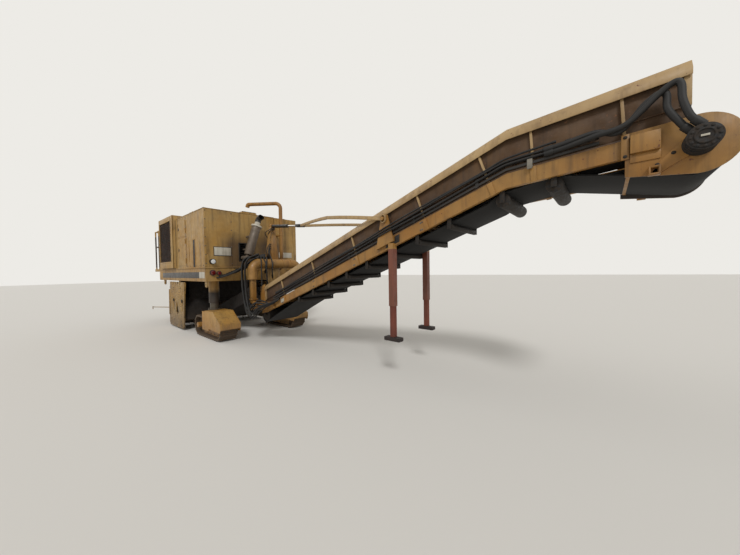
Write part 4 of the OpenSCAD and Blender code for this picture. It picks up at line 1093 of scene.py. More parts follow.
@dataclass
class Cooling(Assembly):
    """The radiator housing, its louvred openings with their screens, and its bolts."""

    front_x: float = -2130
    rear_x: float = -3763
    low_z: float = 2031
    top_z: float = 3770
    outer: float = 1561
    body_half_w: float = 1461
    wall: float = 30
    rim: float = 46
    wire_pitch: float = 46
    louvre_pitch: float = 60

    def __post_init__(self) -> None:
        """Works out the opening on each side."""
        self.x0, self.x1 = self.rear_x + 90, self.front_x - 180
        self.z0, self.z1 = self.low_z + 224, self.top_z - 165

    def build(self) -> None:
        """Builds the folded housing and, on each side, louvres, a screen and a bolted frame."""
        self.housing()
        for name, side in SIDES:
            self.louvres(name, side)
            self.screen(name, side)

    def housing(self) -> None:
        """A box of folded panels that is open at the louvres, and the post in front of it."""
        panels = [block("roof", (self.rear_x, -self.outer, self.top_z - self.wall),
                        (self.front_x, self.outer, self.top_z), 14)]
        panels += [block("end", (x, -self.outer + 4, self.low_z),
                         (x + self.wall, self.outer - 4, self.top_z - 4), 8)
                   for x in (self.rear_x, self.front_x - self.wall)]
        for side in (-1, 1):
            for x0, x1, z0, z1 in ((self.rear_x, self.x0, self.low_z, self.top_z - 6),
                                   (self.x1, self.front_x, self.low_z, self.top_z - 6),
                                   (self.x0 - 4, self.x1 + 4, self.low_z, self.z0),
                                   (self.x0 - 4, self.x1 + 4, self.z1, self.top_z - 6)):
                panels.append(block("panel", (x0, side * (self.outer - self.wall), z0),
                                    (x1, side * self.outer, z1), 5))
        self.keep("radiator_shell", panels, Paint.YELLOW, instead=["radiator_housing"])
        post = block("post", (self.front_x - 2, -self.body_half_w, self.low_z),
                     (-2014, self.body_half_w, 3618), 5)
        self.keep("radiator_post", [post], Paint.YELLOW)

    def louvres(self, name: str, side: int) -> None:
        """Slanting louvres on a back plate.

        Args:
            name: left or right.
            side: 1 on the left, -1 on the right.
        """
        parts = [block("back", (self.x0, side * (self.outer - 66), self.z0),
                       (self.x1, side * (self.outer - 58), self.z1), 1)]
        for i in range(int((self.z1 - self.z0) / self.louvre_pitch)):
            z = self.z0 + 18 + i * self.louvre_pitch
            outline = [at(self.x0, side * (self.outer - depth), z + lift)
                       for depth, lift in ((58, 34), (58, 38), (22, 6), (22, 2))]
            parts.append(swept("louvre", outline, [Vector(((self.x1 - self.x0) * MM, 0, 0))], 0.8))
        self.keep(f"{name}_louvres", parts, Paint.GRILLE, instead=["radiator_grilles"] if side > 0 else [])

    def screen(self, name: str, side: int) -> None:
        """A woven screen in a bolted frame.

        Args:
            name: left or right.
            side: 1 on the left, -1 on the right.
        """
        y = side * (self.outer - 10)
        wires = [bar("wire", at(x, y, self.z0 + 4), at(x, y, self.z1 - 4), 3, 6, 0.5)
                 for x in self.steps(self.x0, self.x1)]
        wires += [bar("wire", at(self.x0 + 4, y, z), at(self.x1 - 4, y, z), 3, 6, 0.5)
                  for z in self.steps(self.z0, self.z1)]
        self.keep(f"{name}_screen", wires, Paint.GRILLE)
        rim = self.rim
        edges = [block("frame", (x0, side * (self.outer - 3), z0), (x1, side * (self.outer + 8), z1), 3)
                  for x0, x1, z0, z1 in ((self.x0 - rim, self.x1 + rim, self.z1, self.z1 + rim),
                                         (self.x0 - rim, self.x1 + rim, self.z0 - rim, self.z0),
                                         (self.x0 - rim, self.x0, self.z0, self.z1),
                                         (self.x1, self.x1 + rim, self.z0, self.z1))]
        self.keep(f"{name}_screen_frame", edges, Paint.YELLOW)
        rows = [(x, side * (self.outer + 8), z) for x in (self.x0 - rim / 2, self.x1 + rim / 2)
                for z in range(2270, 3590, 220)]
        self.fasten(f"{name}_screen_bolts", rows, (0, side, 0))

    def steps(self, low: float, high: float) -> List[float]:
        """The places of the wires between two edges of the opening."""
        return [low + i * self.wire_pitch for i in range(1, int((high - low) / self.wire_pitch))]


@dataclass
class FrontLamps(Assembly):
    """Tail lamps with bezels and the work lamp on the front ledge."""

    x: float = 447
    lamps: Sequence[Tuple[float, float, float]] = ((1280, 1865, 70), (1120, 1850, 55))
    work_y: float = -1290
    work_z: float = 2170

    def build(self) -> None:
        """Builds bezels, domed lenses and the work lamp."""
        bezels, domes = [], []
        for y, z, radius in self.lamps:
            for side in (-1, 1):
                bezels.append(self.disc("bezel", side * y, z, -38, 4, radius + 9, 32, 3, 6))
                domes.append(self.disc("dome", side * y, z, 0, 9, radius - 6, 32, 5))
        self.keep("lamp_bezels", bezels, Paint.BLACK)
        self.keep("lamp_lenses", domes, Paint.LENS)
        y, z = self.work_y, self.work_z
        self.keep("work_lamp", [self.disc("shell", y, z, -30, 70, 74, 28, 8, 14)], Paint.BLACK)
        self.keep("work_lamp_glass", [self.disc("glass", y, z, 50, 66, 60, 28, 4)], Paint.GLASS)

    def disc(self, name: str, y: float, z: float, back: float, front: float,
             *shape: float) -> bpy.types.Object:
        """A round part that looks forward, from back to front of the lamps' face.

        Args:
            name: the part's name.
            y: its side.
            z: its height.
            back: where it begins, ahead of the face.
            front: where it ends.
            shape: radius, sides, bevel and recess, as bar() takes them.

        Returns:
            The part.
        """
        return bar(name, at(self.x + back, y, z), at(self.x + front, y, z), *shape)


@dataclass
class Pipes(Assembly):
    """The gooseneck water pipe and the muffler with its elbow."""

    front_x: float = 407
    x: float = 700
    pipe_y: float = 675
    pipe_r: float = 57.5
    pipe_low: float = 1960
    pipe_top: float = 4048
    pipe_bend: float = 160
    foot: Point = (700, -400, 2370)
    top: Point = (700, -130, 3240)
    barrel_r: float = 125

    def build(self) -> None:
        """Builds both and the brackets that hold them to the body's front."""
        self.gooseneck()
        self.muffler()

    def gooseneck(self) -> None:
        """An open pipe up the front and over the roof, with its bracket and a wire."""
        front, x, y, low, top = self.front_x, self.x, self.pipe_y, self.pipe_low, self.pipe_top
        parts = [pipe("gooseneck", [(front - 4, y, low), (x, y, low), (x, y, top), (-150, 48, top)],
                      self.pipe_r, self.pipe_bend),
                 pipe("spout", [(-120, 70, top), (-165, 36, top - 16), (-182, 24, top - 96)],
                      self.pipe_r + 4, 40),
                 bar("flange", at(front - 2, y, low), at(front + 22, y, low), 96, 32, 3),
                 bar("collar", at(x, y, 3010), at(x, y, 3046), 68, 32, 4),
                 block("arm", (front, y - 24, 3004), (x - 50, y + 24, 3050), 4)]
        self.keep("water_pipe", parts, Paint.BOOM, instead=["gooseneck_pipe"])
        wire = [(front + 8, 470, 2900), (470, 450, 2820), (480, 440, 2500), (450, 455, 2330),
                (front + 8, 470, 2290)]
        self.lay("lamp_wire", wire, 7, 0)

    def muffler(self) -> None:
        """A leaning barrel with a pale rim, its inlet, and an outlet cut on the slant."""
        foot, top = at(*self.foot), at(*self.top)
        axis = (top - foot).normalized()
        inner_foot = tuple(Vector(self.foot) + Vector((0, 0.1, 0.3)))
        parts = [bar("barrel", foot, top, self.barrel_r, 40, 12, 8)]
        parts += [bar("band", foot + axis * d, foot + axis * (d + 0.03), self.barrel_r + 4, 40, 3)
                  for d in (0.13, 0.72)]
        parts.append(pipe("inlet", [(self.front_x - 4, -436, 2296), (650, -432, 2292), inner_foot], 58, 60))
        parts += [block("arm", (self.front_x, y, z0), (640, y + 60, z1), 4)
                  for y, z0, z1 in ((-330, 2900, 2950), (-430, 2520, 2560))]
        self.keep("muffler_barrel", parts, Paint.MUFFLER, instead=["muffler"])
        rim = [bar("rim", top - axis * 0.042, top + axis * 0.004, self.barrel_r + 25, 40, 6, 5),
               bar("neck", top, top + axis * 0.14, 77, 32, 3)]
        self.keep("muffler_rim", rim, Paint.PLATE)
        self.keep("muffler_outlet", [self.elbow(top + axis * 0.13, axis)], Paint.BLACK)

    def elbow(self, start: Vector, axis: Vector) -> bpy.types.Object:
        """The outlet: a quarter bend that ends in a slant cut and looks forward.

        Args:
            start: where it leaves the muffler, in the row frame's metres.
            axis: the way that it starts.

        Returns:
            The outlet.
        """
        spot = start / MM - Vector((SHIFT_X, 0, 0))
        knee = spot + axis * 118
        obj = pipe("outlet", [tuple(spot - axis * 20), tuple(knee), tuple(knee + Vector((270, 0, 30)))],
                   84, 100, 4)
        only(obj)
        bpy.ops.object.mode_set(mode="EDIT")
        bpy.ops.mesh.select_all(action="SELECT")
        bpy.ops.mesh.bisect(plane_co=at(*(knee + Vector((165, 0, 0)))), plane_no=(0.82, 0, 0.57),
                            clear_outer=True)
        bpy.ops.object.mode_set(mode="OBJECT")
        return obj


@dataclass
class Gantry(Assembly):
    """The slewing gantry: hub, bent cross tube with its legs, mast and pins."""

    body = "slew_gantry"
    slew_x: float = 1330
    pivot_x: float = 1500
    pivot_z: float = 950
    leg_y: float = 690
    leg_half: float = 64
    tube_z: float = 2090
    tube_r: float = 130
    bend: float = 185
    mast_z: float = 3170
    hub_z: float = 1495

    def build(self) -> None:
        """Builds the welded frame, the mast and the bolted plates."""
        x, low, tube_z = self.pivot_x, self.tube_z - 420, self.tube_z
        parts = [part for side in (-1, 1) for part in self.leg(side)]
        tube = rounded([(x, -self.leg_y, low), (x, -self.leg_y, tube_z), (x, self.leg_y, tube_z),
                        (x, self.leg_y, low)], self.bend, 12)
        parts.append(hose("tube", tube, self.tube_r, 0, False, round_=7))
        for z0, z1, radius in ((self.hub_z, tube_z, 90), (self.hub_z, self.hub_z + 64, 150),
                               (tube_z - 128, tube_z, 175)):
            parts.append(bar("hub", at(self.slew_x, 0, z0), at(self.slew_x, 0, z1), radius, 40, 5))
        parts.append(block("arm", (self.slew_x, -148, tube_z - 68), (x, 148, tube_z + 68), 10))
        parts += [bar("clamp", at(x, y - 20, tube_z), at(x, y + 20, tube_z), self.tube_r + 6, 40, 4)
                  for y in (-430, -170, 170, 430)]
        self.keep("gantry_frame", parts + self.mast(), Paint.BOOM, instead=["gantry"])
        rows = [(x + dx, side * self.leg_y + dy, z) for side in (-1, 1) for dx in (-78, 78)
                for dy in (-78, 78) for z in (tube_z - 306, self.pivot_z + 204)]
        pins = [bolts("bolts", rows, (0, 0, 1), 13, 11)]
        for side in (-1, 1):
            y = side * (self.leg_y + self.leg_half)
            pins.append(bar("cap", at(x, y - side * 4, self.pivot_z), at(x, y + side * 22, self.pivot_z),
                            52, 32, 4, 6))
        self.keep("gantry_bolts", pins, Paint.STEEL)

    def leg(self, side: int) -> List[bpy.types.Object]:
        """One leg with its flanges, its foot round the pin and the pin.

        Args:
            side: 1 on the left, -1 on the right.

        Returns:
            Its parts.
        """
        x, y, z, half = self.pivot_x, side * self.leg_y, self.pivot_z, self.leg_half
        parts = [block("leg", (x - half, y - half, z + 20), (x + half, y + half, self.tube_z - 300), 12),
                 bar("foot", at(x, y - half, z), at(x, y + half, z), 104, 36, 5),
                 block("web", (x - 18, y - half + 6, z + 60), (x + 118, y + half - 6, z + 150), 5),
                 bar("pin", at(x, side * 552, z), at(x, side * (self.leg_y + half + 8), z), 40, 32, 3),
                 bar("boss", at(x, side * 626, z), at(x, y, z), 75, 32, 4)]
        return parts + [block("flange", (x - 92, y - 92, low), (x + 92, y + 92, low + 24), 4)
                        for low in (self.tube_z - 330, z + 180)]

    def mast(self) -> List[bpy.types.Object]:
        """The mast: a tapered box with a fork for the cylinder's pin, the pin and its ears.

        Returns:
            Its parts.
        """
        x, low, top = self.slew_x, self.tube_z, self.mast_z
        outline = [at(x - 60, y, z) for y, z in ((-220, low), (160, low), (60, top + 30), (42, top + 60),
                                                 (-42, top + 60), (-60, top + 30))]
        mast = swept("mast", outline, [Vector((0.12, 0, 0))], 8)
        cut(mast, [block("fork", (x - 70, -35, top - 150), (x + 70, 35, top + 90), 1)])
        ears = [bar("ear", at(x, s * 58, top), at(x, s * 68, top), 52, 32, 3) for s in (-1, 1)]
        return [mast, bar("pin", at(x, -74, top), at(x, 74, top), 25, 28, 3), *ears]


@dataclass
class Hoses(Assembly):
    """Hydraulic hoses of the front end."""

    body = "slew_gantry"
    radius: float = 17
    seed: int = 7

    def build(self) -> None:
        """Builds the bundles across the front, down the gantry's legs and round the mast."""
        rnd = random.Random(self.seed)
        self.front(rnd)
        self.leg_loops(rnd)
        self.over_tube(rnd)
        self.mast_loops()

    def front(self, rnd: random.Random) -> None:
        """A fan of hoses from the body's front corner up to the slewing hub.

        Args:
            rnd: the seeded source of the hoses' small differences.
        """
        for i in range(9):
            lift = 26 * i + rnd.uniform(-12, 12)
            sag = rnd.uniform(10, 90)
            route = [(416, -1180 + 66 * i, 1730 + lift), (520, -1090 + 60 * i, 1740 + lift),
                     (740, -860 + 50 * i, 1880 + lift - sag), (960, -640 + 34 * i, 2080 + lift - sag),
                     (1120, -470 + 26 * i, 2230 + lift / 2), (1215, -330 + 30 * i, 2270 + lift / 3),
                     (1285, -190 + 24 * i, 2180 + lift / 4)]
            self.lay(f"front_hose_{i + 1}", route, self.radius + i % 3 * 2,
                     across=("chassis", "slew_gantry", at(560, -700, 2000), at(1180, -700, 2000)))

    def leg_loops(self, rnd: random.Random) -> None:
        """Loops that hang beside the right leg and come up to the conveyor's tubes.

        Args:
            rnd: the seeded source of the hoses' small differences.
        """
        for i in range(8):
            y = -800 - 24 * (i % 4) - rnd.uniform(0, 16)
            x = 1300 + 44 * i + rnd.uniform(-16, 16)
            low = 690 + 70 * (i % 5) + rnd.uniform(-40, 40)
            route = [(x - 60, -560 + 30 * (i % 3), 2260 + 12 * i), (x - 30, y + 60, 2225),
                     (x - 70, y - 20, 2020), (x - 90 - 30 * (i % 3), y - 10, 1560),
                     (x - 30, y - 8, low + 300), (x + 70, y, low + 50), (x + 230, y + 20, low),
                     (x + 450, y + 50, low + 170),
                     (2170 + 36 * i, -652 - 5 * (i % 4), 1010 + 16 * i), (2350 + 40 * i, -596, 1090 + 17 * i)]
            self.lay(f"leg_hose_{i + 1}", route, self.radius - 2 * (i % 3) + 3,
                     across=("slew_gantry", "conveyor", at(1560, -700, 1000), at(2150, -700, 1000)))

    def over_tube(self, rnd: random.Random) -> None:
        """Loops over the cross tube, in front of it and down to the pivot.

        Args:
            rnd: the seeded source of the hoses' small differences.
        """
        loops = ((-330, 1500, 30), (-410, 1880, 130), (-500, 1300, 60), (-200, 1760, 90))
        for i, (y, low, out) in enumerate(loops):
            route = [(1240, y + 170, 2010), (1290, y + 110, 2180), (1420, y + 60, 2262 + 20 * i),
                     (1600, y - 10, 2240), (1668 + out, y - 60, 2080), (1672 + out, y - 70, (2080 + low) / 2),
                     (1650 + out / 2, y - 30, low), (1560, y + 40, low - 60), (1480, y + 90, low + 20)]
            route = [(x, max(w, -560), z + rnd.uniform(-12, 12)) for x, w, z in route]
            self.lay(f"tube_hose_{i + 1}", route, self.radius - i % 3)

    def mast_loops(self) -> None:
        """Lines up the mast and to the lift cylinder, with loops round its foot."""
        for i, y in enumerate((-60, 0, 60)):
            route = [(1270, y * 1.6, 2230), (1238, y * 1.4, 2420), (1240, y, 2760),
                     (1300, y * 1.7 - 96, 2950), (1430, y - 88, 3040), (1500, y * 0.8 - 62, 3080)]
            self.lay(f"mast_line_{i + 1}", route, 11)
        for i in range(3):
            route = [(1420, -150 - 30 * i, 2180), (1500, -190 - 40 * i, 2330 + 60 * i),
                     (1420, -130, 2520 + 60 * i), (1300, 40, 2500 + 50 * i), (1240, 150, 2330),
                     (1290, 210 + 20 * i, 2170)]
            self.lay(f"mast_loop_{i + 1}", route, 14)


@dataclass
class SidePlates(Assembly):
    """The cutter's side plates: notched along the top, with a tall cut between two legs."""

    rear_x: float = -3330
    front_x: float = -1520
    low_z: float = 50
    top_z: float = 1575
    inner_y: float = 1385
    thick: float = 30
    drum_x: float = -2300
    pin_xs: Tuple[float, float] = (-2750, -1850)
    pin_z: float = 950
    pin_r: float = 30.3
    travel: float = 305
    notches: int = 5

    def build(self) -> None:
        """Builds both plates."""
        for name, side in SIDES:
            self.plate(name, side)

    def plate(self, name: str, side: int) -> None:
        """One plate with its shoe, stiffeners, sensor arm and bolts.

        Args:
            name: left or right.
            side: 1 on the left, -1 on the right.
        """
        rear, front, low, top = self.rear_x, self.front_x, self.low_z, self.top_z
        y0, y1 = side * self.inner_y, side * (self.inner_y + self.thick)
        sheet = profile("plate", [(rear, low + 90), (rear + 100, low), (front - 290, low),
                                  (front - 222, low + 70), (front, top), (rear + 155, top),
                                  (rear + 155, 1322), (rear + 73, 1305)], y0, y1, 0.5)
        cut(sheet, self.holes(side))
        soften(sheet, 2 * MM, 50)
        shoe = block("shoe", (rear + 110, y0 - side * 15, low), (front - 300, y1 + side * 15, low + 60), 8)
        parts = [sheet, shoe]
        for outline in (((front - 180, 400), (front - 130, 400), (front, top), (front - 50, top)),
                        ((rear + 20, 400), (rear + 70, 400), (rear + 121, 1300), (rear + 71, 1300))):
            parts.append(profile("edge", outline, y1 - side * 2, y1 + side * 20, 3))
        reach, cup = rear - 716, y1 + side * 340
        tip = at(reach - 14, cup + side * 4, 640)
        parts.append(bar("arm", at(rear + 60, y1 - side * 6, 650), tip, 13, 16, 2))
        parts.append(bar("cup", at(reach, cup, 662), at(reach, cup, 560), 12, 16, 2))
        body = f"{name}_plate"
        self.keep(f"{name}_plate_sheet", parts, Paint.PLATE_STEEL, body=body, instead=[f"{name}_side_plate"])
        rows = [(x, y1 + side * 8, z) for x in (rear + 200, rear + 620, front - 460) for z in (280, 1380)]
        self.fasten(f"{name}_plate_bolts", rows, (0, side, 0), 15, 12, body=body)

    def holes(self, side: int) -> List[bpy.types.Object]:
        """The cutters of one plate: the pins' slots, the notches and the tall cut.

        Args:
            side: 1 on the left, -1 on the right.

        Returns:
            One cutter for each hole.
        """
        top = self.top_z
        outlines = [oval(x, self.pin_z, self.pin_r, self.travel) for x in self.pin_xs]
        for i in range(self.notches):
            x = self.rear_x + 300 + i * 250
            outlines.append([(x - 50, top + 9), (x - 12, top - 120), (x + 12, top - 120), (x + 50, top + 9)])
        outlines.append([(self.drum_x + dx, z) for dx, z in (
            (-240, 560), (-160, 870), (-90, 880), (20, 560), (-110, 470))])
        y0, y1 = side * (self.inner_y - 40), side * (self.inner_y + self.thick + 40)
        return [profile("hole", outline, y0, y1, 0.05) for outline in outlines]


@dataclass
class Conveyor(Assembly):
    """Skirts with their folded cap, belt, idlers, rail joints, hoses and labels."""

    body = "conveyor"
    skirt_y: float = 515
    lip_y: float = 570
    hem: float = 392
    rib_top: float = 100
    rib_xs: Tuple[float, ...] = (2600, 3800, 5000, 6400, 7330, 7950, 8726)
    strap_xs: Tuple[float, ...] = (2600, 5000, 6400, 7330, 7950)
    joint_xs: Tuple[float, ...] = (2690, 3900, 5110, 6520, 7990)
    eye_x: float = 5880
    coupling_xs: Tuple[float, float] = (8290, 8540)
    belt_half: float = 465
    tail: Tuple[float, float] = (1740.0, 721.5)
    tail_r: float = 191
    head_r: float = 236
    return_gap: float = 60
    guides: Tuple[Tuple[float, float], ...] = ((7640, 2800), (8180, 2888))
    guide_r: float = 86
    belt_t: float = 16

    def build(self) -> None:
        """Builds both sides, the belt and the idlers."""
        self.skirts()
        for name, side in SIDES:
            self.rail(name, side)
            self.lines(name, side)
        self.belt()
        self.idlers()

    def skirts(self) -> None:
        """The skirts' plates with hem, ribs and posts, and their caps."""
        plates, ribs, caps, wipers = [], [], [], []
        foot = RAIL_DROP - 26
        for side in (-1, 1):
            y0, y1, rib = side * self.skirt_y, side * (self.skirt_y + 8), side * HALF_W
            plates.append(strip("skirt", TAIL_X, END_X, y0, y1, 5, foot, 1))
            plates.append(strip("hem", TAIL_X, END_X, y1 - side, side * (HALF_W - 4), self.hem - 8,
                                self.hem, 1))
            ribs += [cross_strip("rib", x, 26, y1 - side, rib, self.rib_top, foot, 2) for x in self.rib_xs]
            ribs += [strip("post", x, x + 50, y1 - side, rib, self.rib_top, self.hem, 2)
                     for x in (TAIL_X, END_X - 50)]
            caps.append(runner("cap", [(side * y, drop) for y, drop in (
                (self.skirt_y, 0), (self.skirt_y + 5, 0), (self.lip_y, 83), (self.lip_y, 140),
                (self.lip_y - 8, 140), (self.lip_y - 8, 87), (self.skirt_y, 14))], TAIL_X, END_X, 1.2))
            wipers.append(strip("wiper", TAIL_X + 40, END_X - 40, side * 498, side * 512, 560, 640, 2))
        # The skirts' plates and hem: asphalt brown darkened with painted shade.
        self.keep("skirt_plates", plates, Paint.SKIRT, instead=["conveyor_skirts"])
        self.keep("skirt_ribs", ribs, Paint.CAP)
        self.keep("skirt_caps", caps, Paint.CAP)
        self.keep("belt_wipers", wipers, Paint.HOSE)

    def rail(self, name: str, side: int) -> None:
        """The straps, bolts and plates of one side's rail.

        Args:
            name: left or right.
            side: 1 on the left, -1 on the right.
        """
        face, drop, low, tail_z = side * (HALF_W - 1), RAIL_DROP, RAIL_LOW, skirt_z(TAIL_X)
        straps = [cross_strip("strap", x, 60, face, side * (HALF_W + 13), drop + 4, low + 8, 2)
                  for x in self.strap_xs]
        hopper = profile("hopper", [(1620, 1150), (1650, 1480), (TAIL_X - 3, tail_z + 30),
                                    (TAIL_X - 3, tail_z - low), (1790, 900)], side * 536, side * 548, 2)
        self.keep(f"{name}_rail_straps", [*straps, hopper], Paint.BOOM)
        rows = [(x + dx, side * HALF_W, skirt_z(x + dx) - drop - d) for x in self.joint_xs
                for dx in (-15, 15) for d in (34, 144)]
        self.fasten(f"{name}_rail_bolts", rows, (0, side, 0), 10, 7)
        label = strip("label", 2610, 2750, face, side * (HALF_W + 2.5), drop + 40, drop + 130, 0.6)
        self.keep(f"{name}_rail_label", [label], Paint.PLATE)
        plate = [strip("plate", 5850, 6120, face, side * (HALF_W + 5), drop + 24, low - 30, 1.5)]
        plate += [strip("rib", x, x + 14, side * (HALF_W + 3), side * (HALF_W + 11), drop + 30, low - 36, 2)
                  for x in range(5866, 6110, 30)]
        self.keep(f"{name}_ribbed_plate", plate, Paint.BLACK)
        tie = strip("tie", 7930, 7985, side * 576, side * 596, 440, 570, 4)
        self.keep(f"{name}_tube_tie", [tie], Paint.STRAP)

    def lines(self, name: str, side: int) -> None:
        """The hoses along one skirt, which swing out round the yoke's eye, and the tubes' couplings.

        Args:
            name: left or right.
            side: 1 on the left, -1 on the right.
        """
        for i, (drop, radius) in enumerate(((398, 14), (366, 12), (452, 13))):
            route = []
            for x in range(2450, 8300, 180):
                swing = 34 * max(0, 1 - abs(x - self.eye_x) / 700)
                route.append((x, side * (590 + 5 * math.sin(x / 260 + i) + swing),
                              skirt_z(x) - drop + 9 * math.sin(x / 340 + 2 * i)))
            self.lay(f"{name}_side_hose_{i + 1}", route, radius, 1.25)
        joints = []
        for drop in (450, 398):
            a, b = (at(x, side * 590, skirt_z(x) - drop) for x in self.coupling_xs)
            joints += [bar("coupling", a, b, 20, 20, 2), bar("nut", a, a.lerp(b, 0.2), 28, 6, 2),
                       bar("nut", a.lerp(b, 0.55), a.lerp(b, 0.75), 28, 6, 2)]
        self.keep(f"{name}_hose_couplings", joints, Paint.GREASE)

    def belt(self) -> None:
        """The belt's loop with its low cleats: it comes back over the return rollers."""
        low, high = math.atan(LOW_TAN), math.atan(HIGH_TAN)
        drop = math.atan2(HEAD[1] - self.head_r - self.guides[-1][1], HEAD[0] - self.guides[-1][0])
        loop = [self.around(self.tail, self.tail_r, low + a) for a in fan(90, 255)]
        loop += [(x, skirt_z(x) - RAIL_LOW - self.return_gap) for x in (3300, 7450)] + list(self.guides)
        loop += [self.around(HEAD, self.head_r, a) for a in fan(-90 + math.degrees(drop), 90, 22)]
        loop.append((BEND_X, belt_z(BEND_X) + self.tail_r / math.cos((low + high) / 2)))
        strand = swept("belt", [at(x, -self.belt_half, z) for x, z in loop],
                       [Vector((0, 2 * self.belt_half * MM, 0))], 0.1)
        only(strand)
        bpy.ops.object.mode_set(mode="EDIT")
        mesh = bmesh.from_edit_mesh(strand.data)
        bmesh.ops.delete(mesh, geom=[f for f in mesh.faces if abs(f.normal.y) > 0.9], context="FACES")
        bmesh.update_edit_mesh(strand.data)
        bpy.ops.object.mode_set(mode="OBJECT")
        thicken(strand, self.belt_t)
        cleats = []
        for i in range(19):
            x = TAIL_X + 80 + i * 300
            slope = low if x < BEND_X else high
            z = belt_z(x) + (self.tail_r + 1) / math.cos(slope)
            rise = 150 * math.tan(slope)
            cleats += [bar("cleat", at(x, side * 30, z), at(x + 150, side * 400, z + rise), 9, 8, 2)
                       for side in (-1, 1)]
        self.keep("conveyor_belting", [strand, *cleats], Paint.BELT, instead=["conveyor_belt"])

    @staticmethod
    def around(centre: Tuple[float, float], radius: float, angle: float) -> Tuple[float, float]:
        """The point of a circle at an angle."""
        return centre[0] + radius * math.cos(angle), centre[1] + radius * math.sin(angle)

    def idlers(self) -> None:
        """Pulleys, carrying rollers on their brackets, and return rollers on hangers."""
        parts, half, inner = [], self.belt_half, self.tail_r - self.belt_t - 4

        def turning(name: str, x: float, z: float, width: float, *shape: float) -> None:
            """Adds a round part across the conveyor, width to each side, shaped as bar() takes it."""
            parts.append(bar(name, at(x, -width, z), at(x, width, z), *shape))

        for (x, z), radius, reach in ((self.tail, inner, HALF_W - 45),
                                      (HEAD, self.head_r - self.belt_t - 4, HALF_W + 20)):
            turning("pulley", x, z, half - 10, radius, 40, 6, 8)
            turning("shaft", x, z, reach, 30, 20, 3)
        for i in range(9):
            x = TAIL_X + 350 + i * 680
            z = belt_z(x) + (inner - 54) / math.cos(math.atan(LOW_TAN if x < BEND_X else HIGH_TAN))
            turning("roller", x, z, half - 20, 50, 24, 4)
            turning("axle", x, z, HALF_W - 40, 12, 12, 1)
            parts += [block("bracket", (x - 25, s * 488, skirt_z(x + 25) - RAIL_DROP - 40),
                            (x + 25, s * 504, z + 20), 3) for s in (-1, 1)]
        backs = [(x, skirt_z(x) - RAIL_LOW - self.return_gap - 44, 40) for x in range(3300, 7200, 520)]
        for x, z, radius in backs + [(x, z - self.guide_r - 6, self.guide_r) for x, z in self.guides]:
            turning("roller", x, z, half + 10, radius, 24, 4, 6)
            turning("axle", x, z, HALF_W - 40, 12, 12, 1)
            parts += [block("hanger", (x - 30, s * 500, z - 34),
                            (x + 30, s * 514, skirt_z(x - 30) - RAIL_LOW + 30), 4) for s in (-1, 1)]
        self.keep("conveyor_rollers", parts, Paint.GREASE, "cast_iron", instead=["conveyor_idlers"])


@dataclass
class LiftRod(Assembly):
    """The lift cylinder's rod with its clevis and the arched yoke that carries the conveyor."""

    body = "cylinder_rod"
    start: Tuple[float, float] = (1330, 3170)
    eye: Tuple[float, float] = (5860, 2700)
    clevis: float = 1440
    knee: float = 3150
    rise: float = 60
    half_h: float = 31
    half_t: float = 20
    root_y: float = 30
    yoke_y: float = 630

    def __post_init__(self) -> None:
        """Works out the link's direction and length."""
        line = Vector(self.eye) - Vector(self.start)
        self.axis, self.length = line.normalized(), line.length

    def link(self, u: float, y: float, lift: float) -> Vector:
        """A point at distance u along the link, side y and height lift over its axis, in millimetres."""
        axis = self.axis
        return at(self.start[0] + u * axis.x - lift * axis.y, y, self.start[1] + u * axis.y + lift * axis.x)

    def build(self) -> None:
        """Builds the rod, the clevis and the yoke."""
        clevis, knee, rear = self.clevis, self.knee, self.clevis - 220
        rod = bar("rod", self.link(360, 0, 0), self.link(clevis - 200, 0, 0), 22, 28, 2)
        self.keep("lift_cylinder_rod", [rod], Paint.CHROME, instead=["lift_rod"])
        box = [self.link(rear, y, w) for y, w in ((-50, -38), (50, -38), (50, 38), (-50, 38))]
        parts = [swept("clevis", box, [self.link(clevis + 70, 0, 0) - self.link(rear, 0, 0)], 8),
                 bar("pin", self.link(clevis - 60, -66, 0), self.link(clevis - 60, 66, 0), 26, 24, 3)]
        self.keep("lift_clevis", parts, Paint.BLACK)
        stops = [clevis + (knee - clevis) * i / 6 for i in range(7)]
        stops += [knee + (self.length - knee) * i / 4 for i in range(1, 5)]
        arms = [part for side in (-1, 1) for part in self.arm(side, stops)]
        self.keep("lift_yoke", arms, Paint.CAP)

    def arch(self, u: float) -> float:
        """The yoke's height over the link's axis at distance u.

        Args:
            u: the distance along the link in millimetres.

        Returns:
            The height in millimetres.
        """
        if u < self.knee:
            return self.rise * math.sin(math.pi / 2 * (u - self.clevis) / (self.knee - self.clevis))
        return self.rise * math.cos(math.pi / 2 * (u - self.knee) / (self.length - self.knee))

    def arm(self, side: int, stops: Sequence[float]) -> List[bpy.types.Object]:
        """One arm of the yoke with its slotted eye.

        Args:
            side: 1 on the left, -1 on the right.
            stops: the distances along the link between which the arm is straight.

        Returns:
            The arm and its eye.
        """
        def slot(radius: float, grow: float, edge: float) -> bpy.types.Object:
            """The eye's slotted form at a radius, grown by that much on both faces of the arm."""
            y0, y1 = side * (self.yoke_y - self.half_t - grow), side * (self.yoke_y + self.half_t + grow)
            return profile("slot", oval(self.eye[0], self.eye[1] + 19, radius, 38), y0, y1, edge)

        line = []
        for u in stops:
            spread = min(1, (u - self.clevis) / (self.knee - self.clevis))
            y = self.root_y + (self.yoke_y - self.root_y) * spread
            line.append(self.link(u, side * y, self.arch(u)))
        half_t, half_h = self.half_t, self.half_h
        ends = [self.link(stops[0], side * (self.root_y + dy), dw) for dy, dw in (
            (-half_t, -half_h), (half_t, -half_h), (half_t, half_h), (-half_t, half_h))]
        beam = swept("arm", ends, [b - a for a, b in zip(line, line[1:])], 4)
        return [cut(piece, [slot(35, 9, 0.05)]) for piece in (beam, slot(50, 0, 3))]


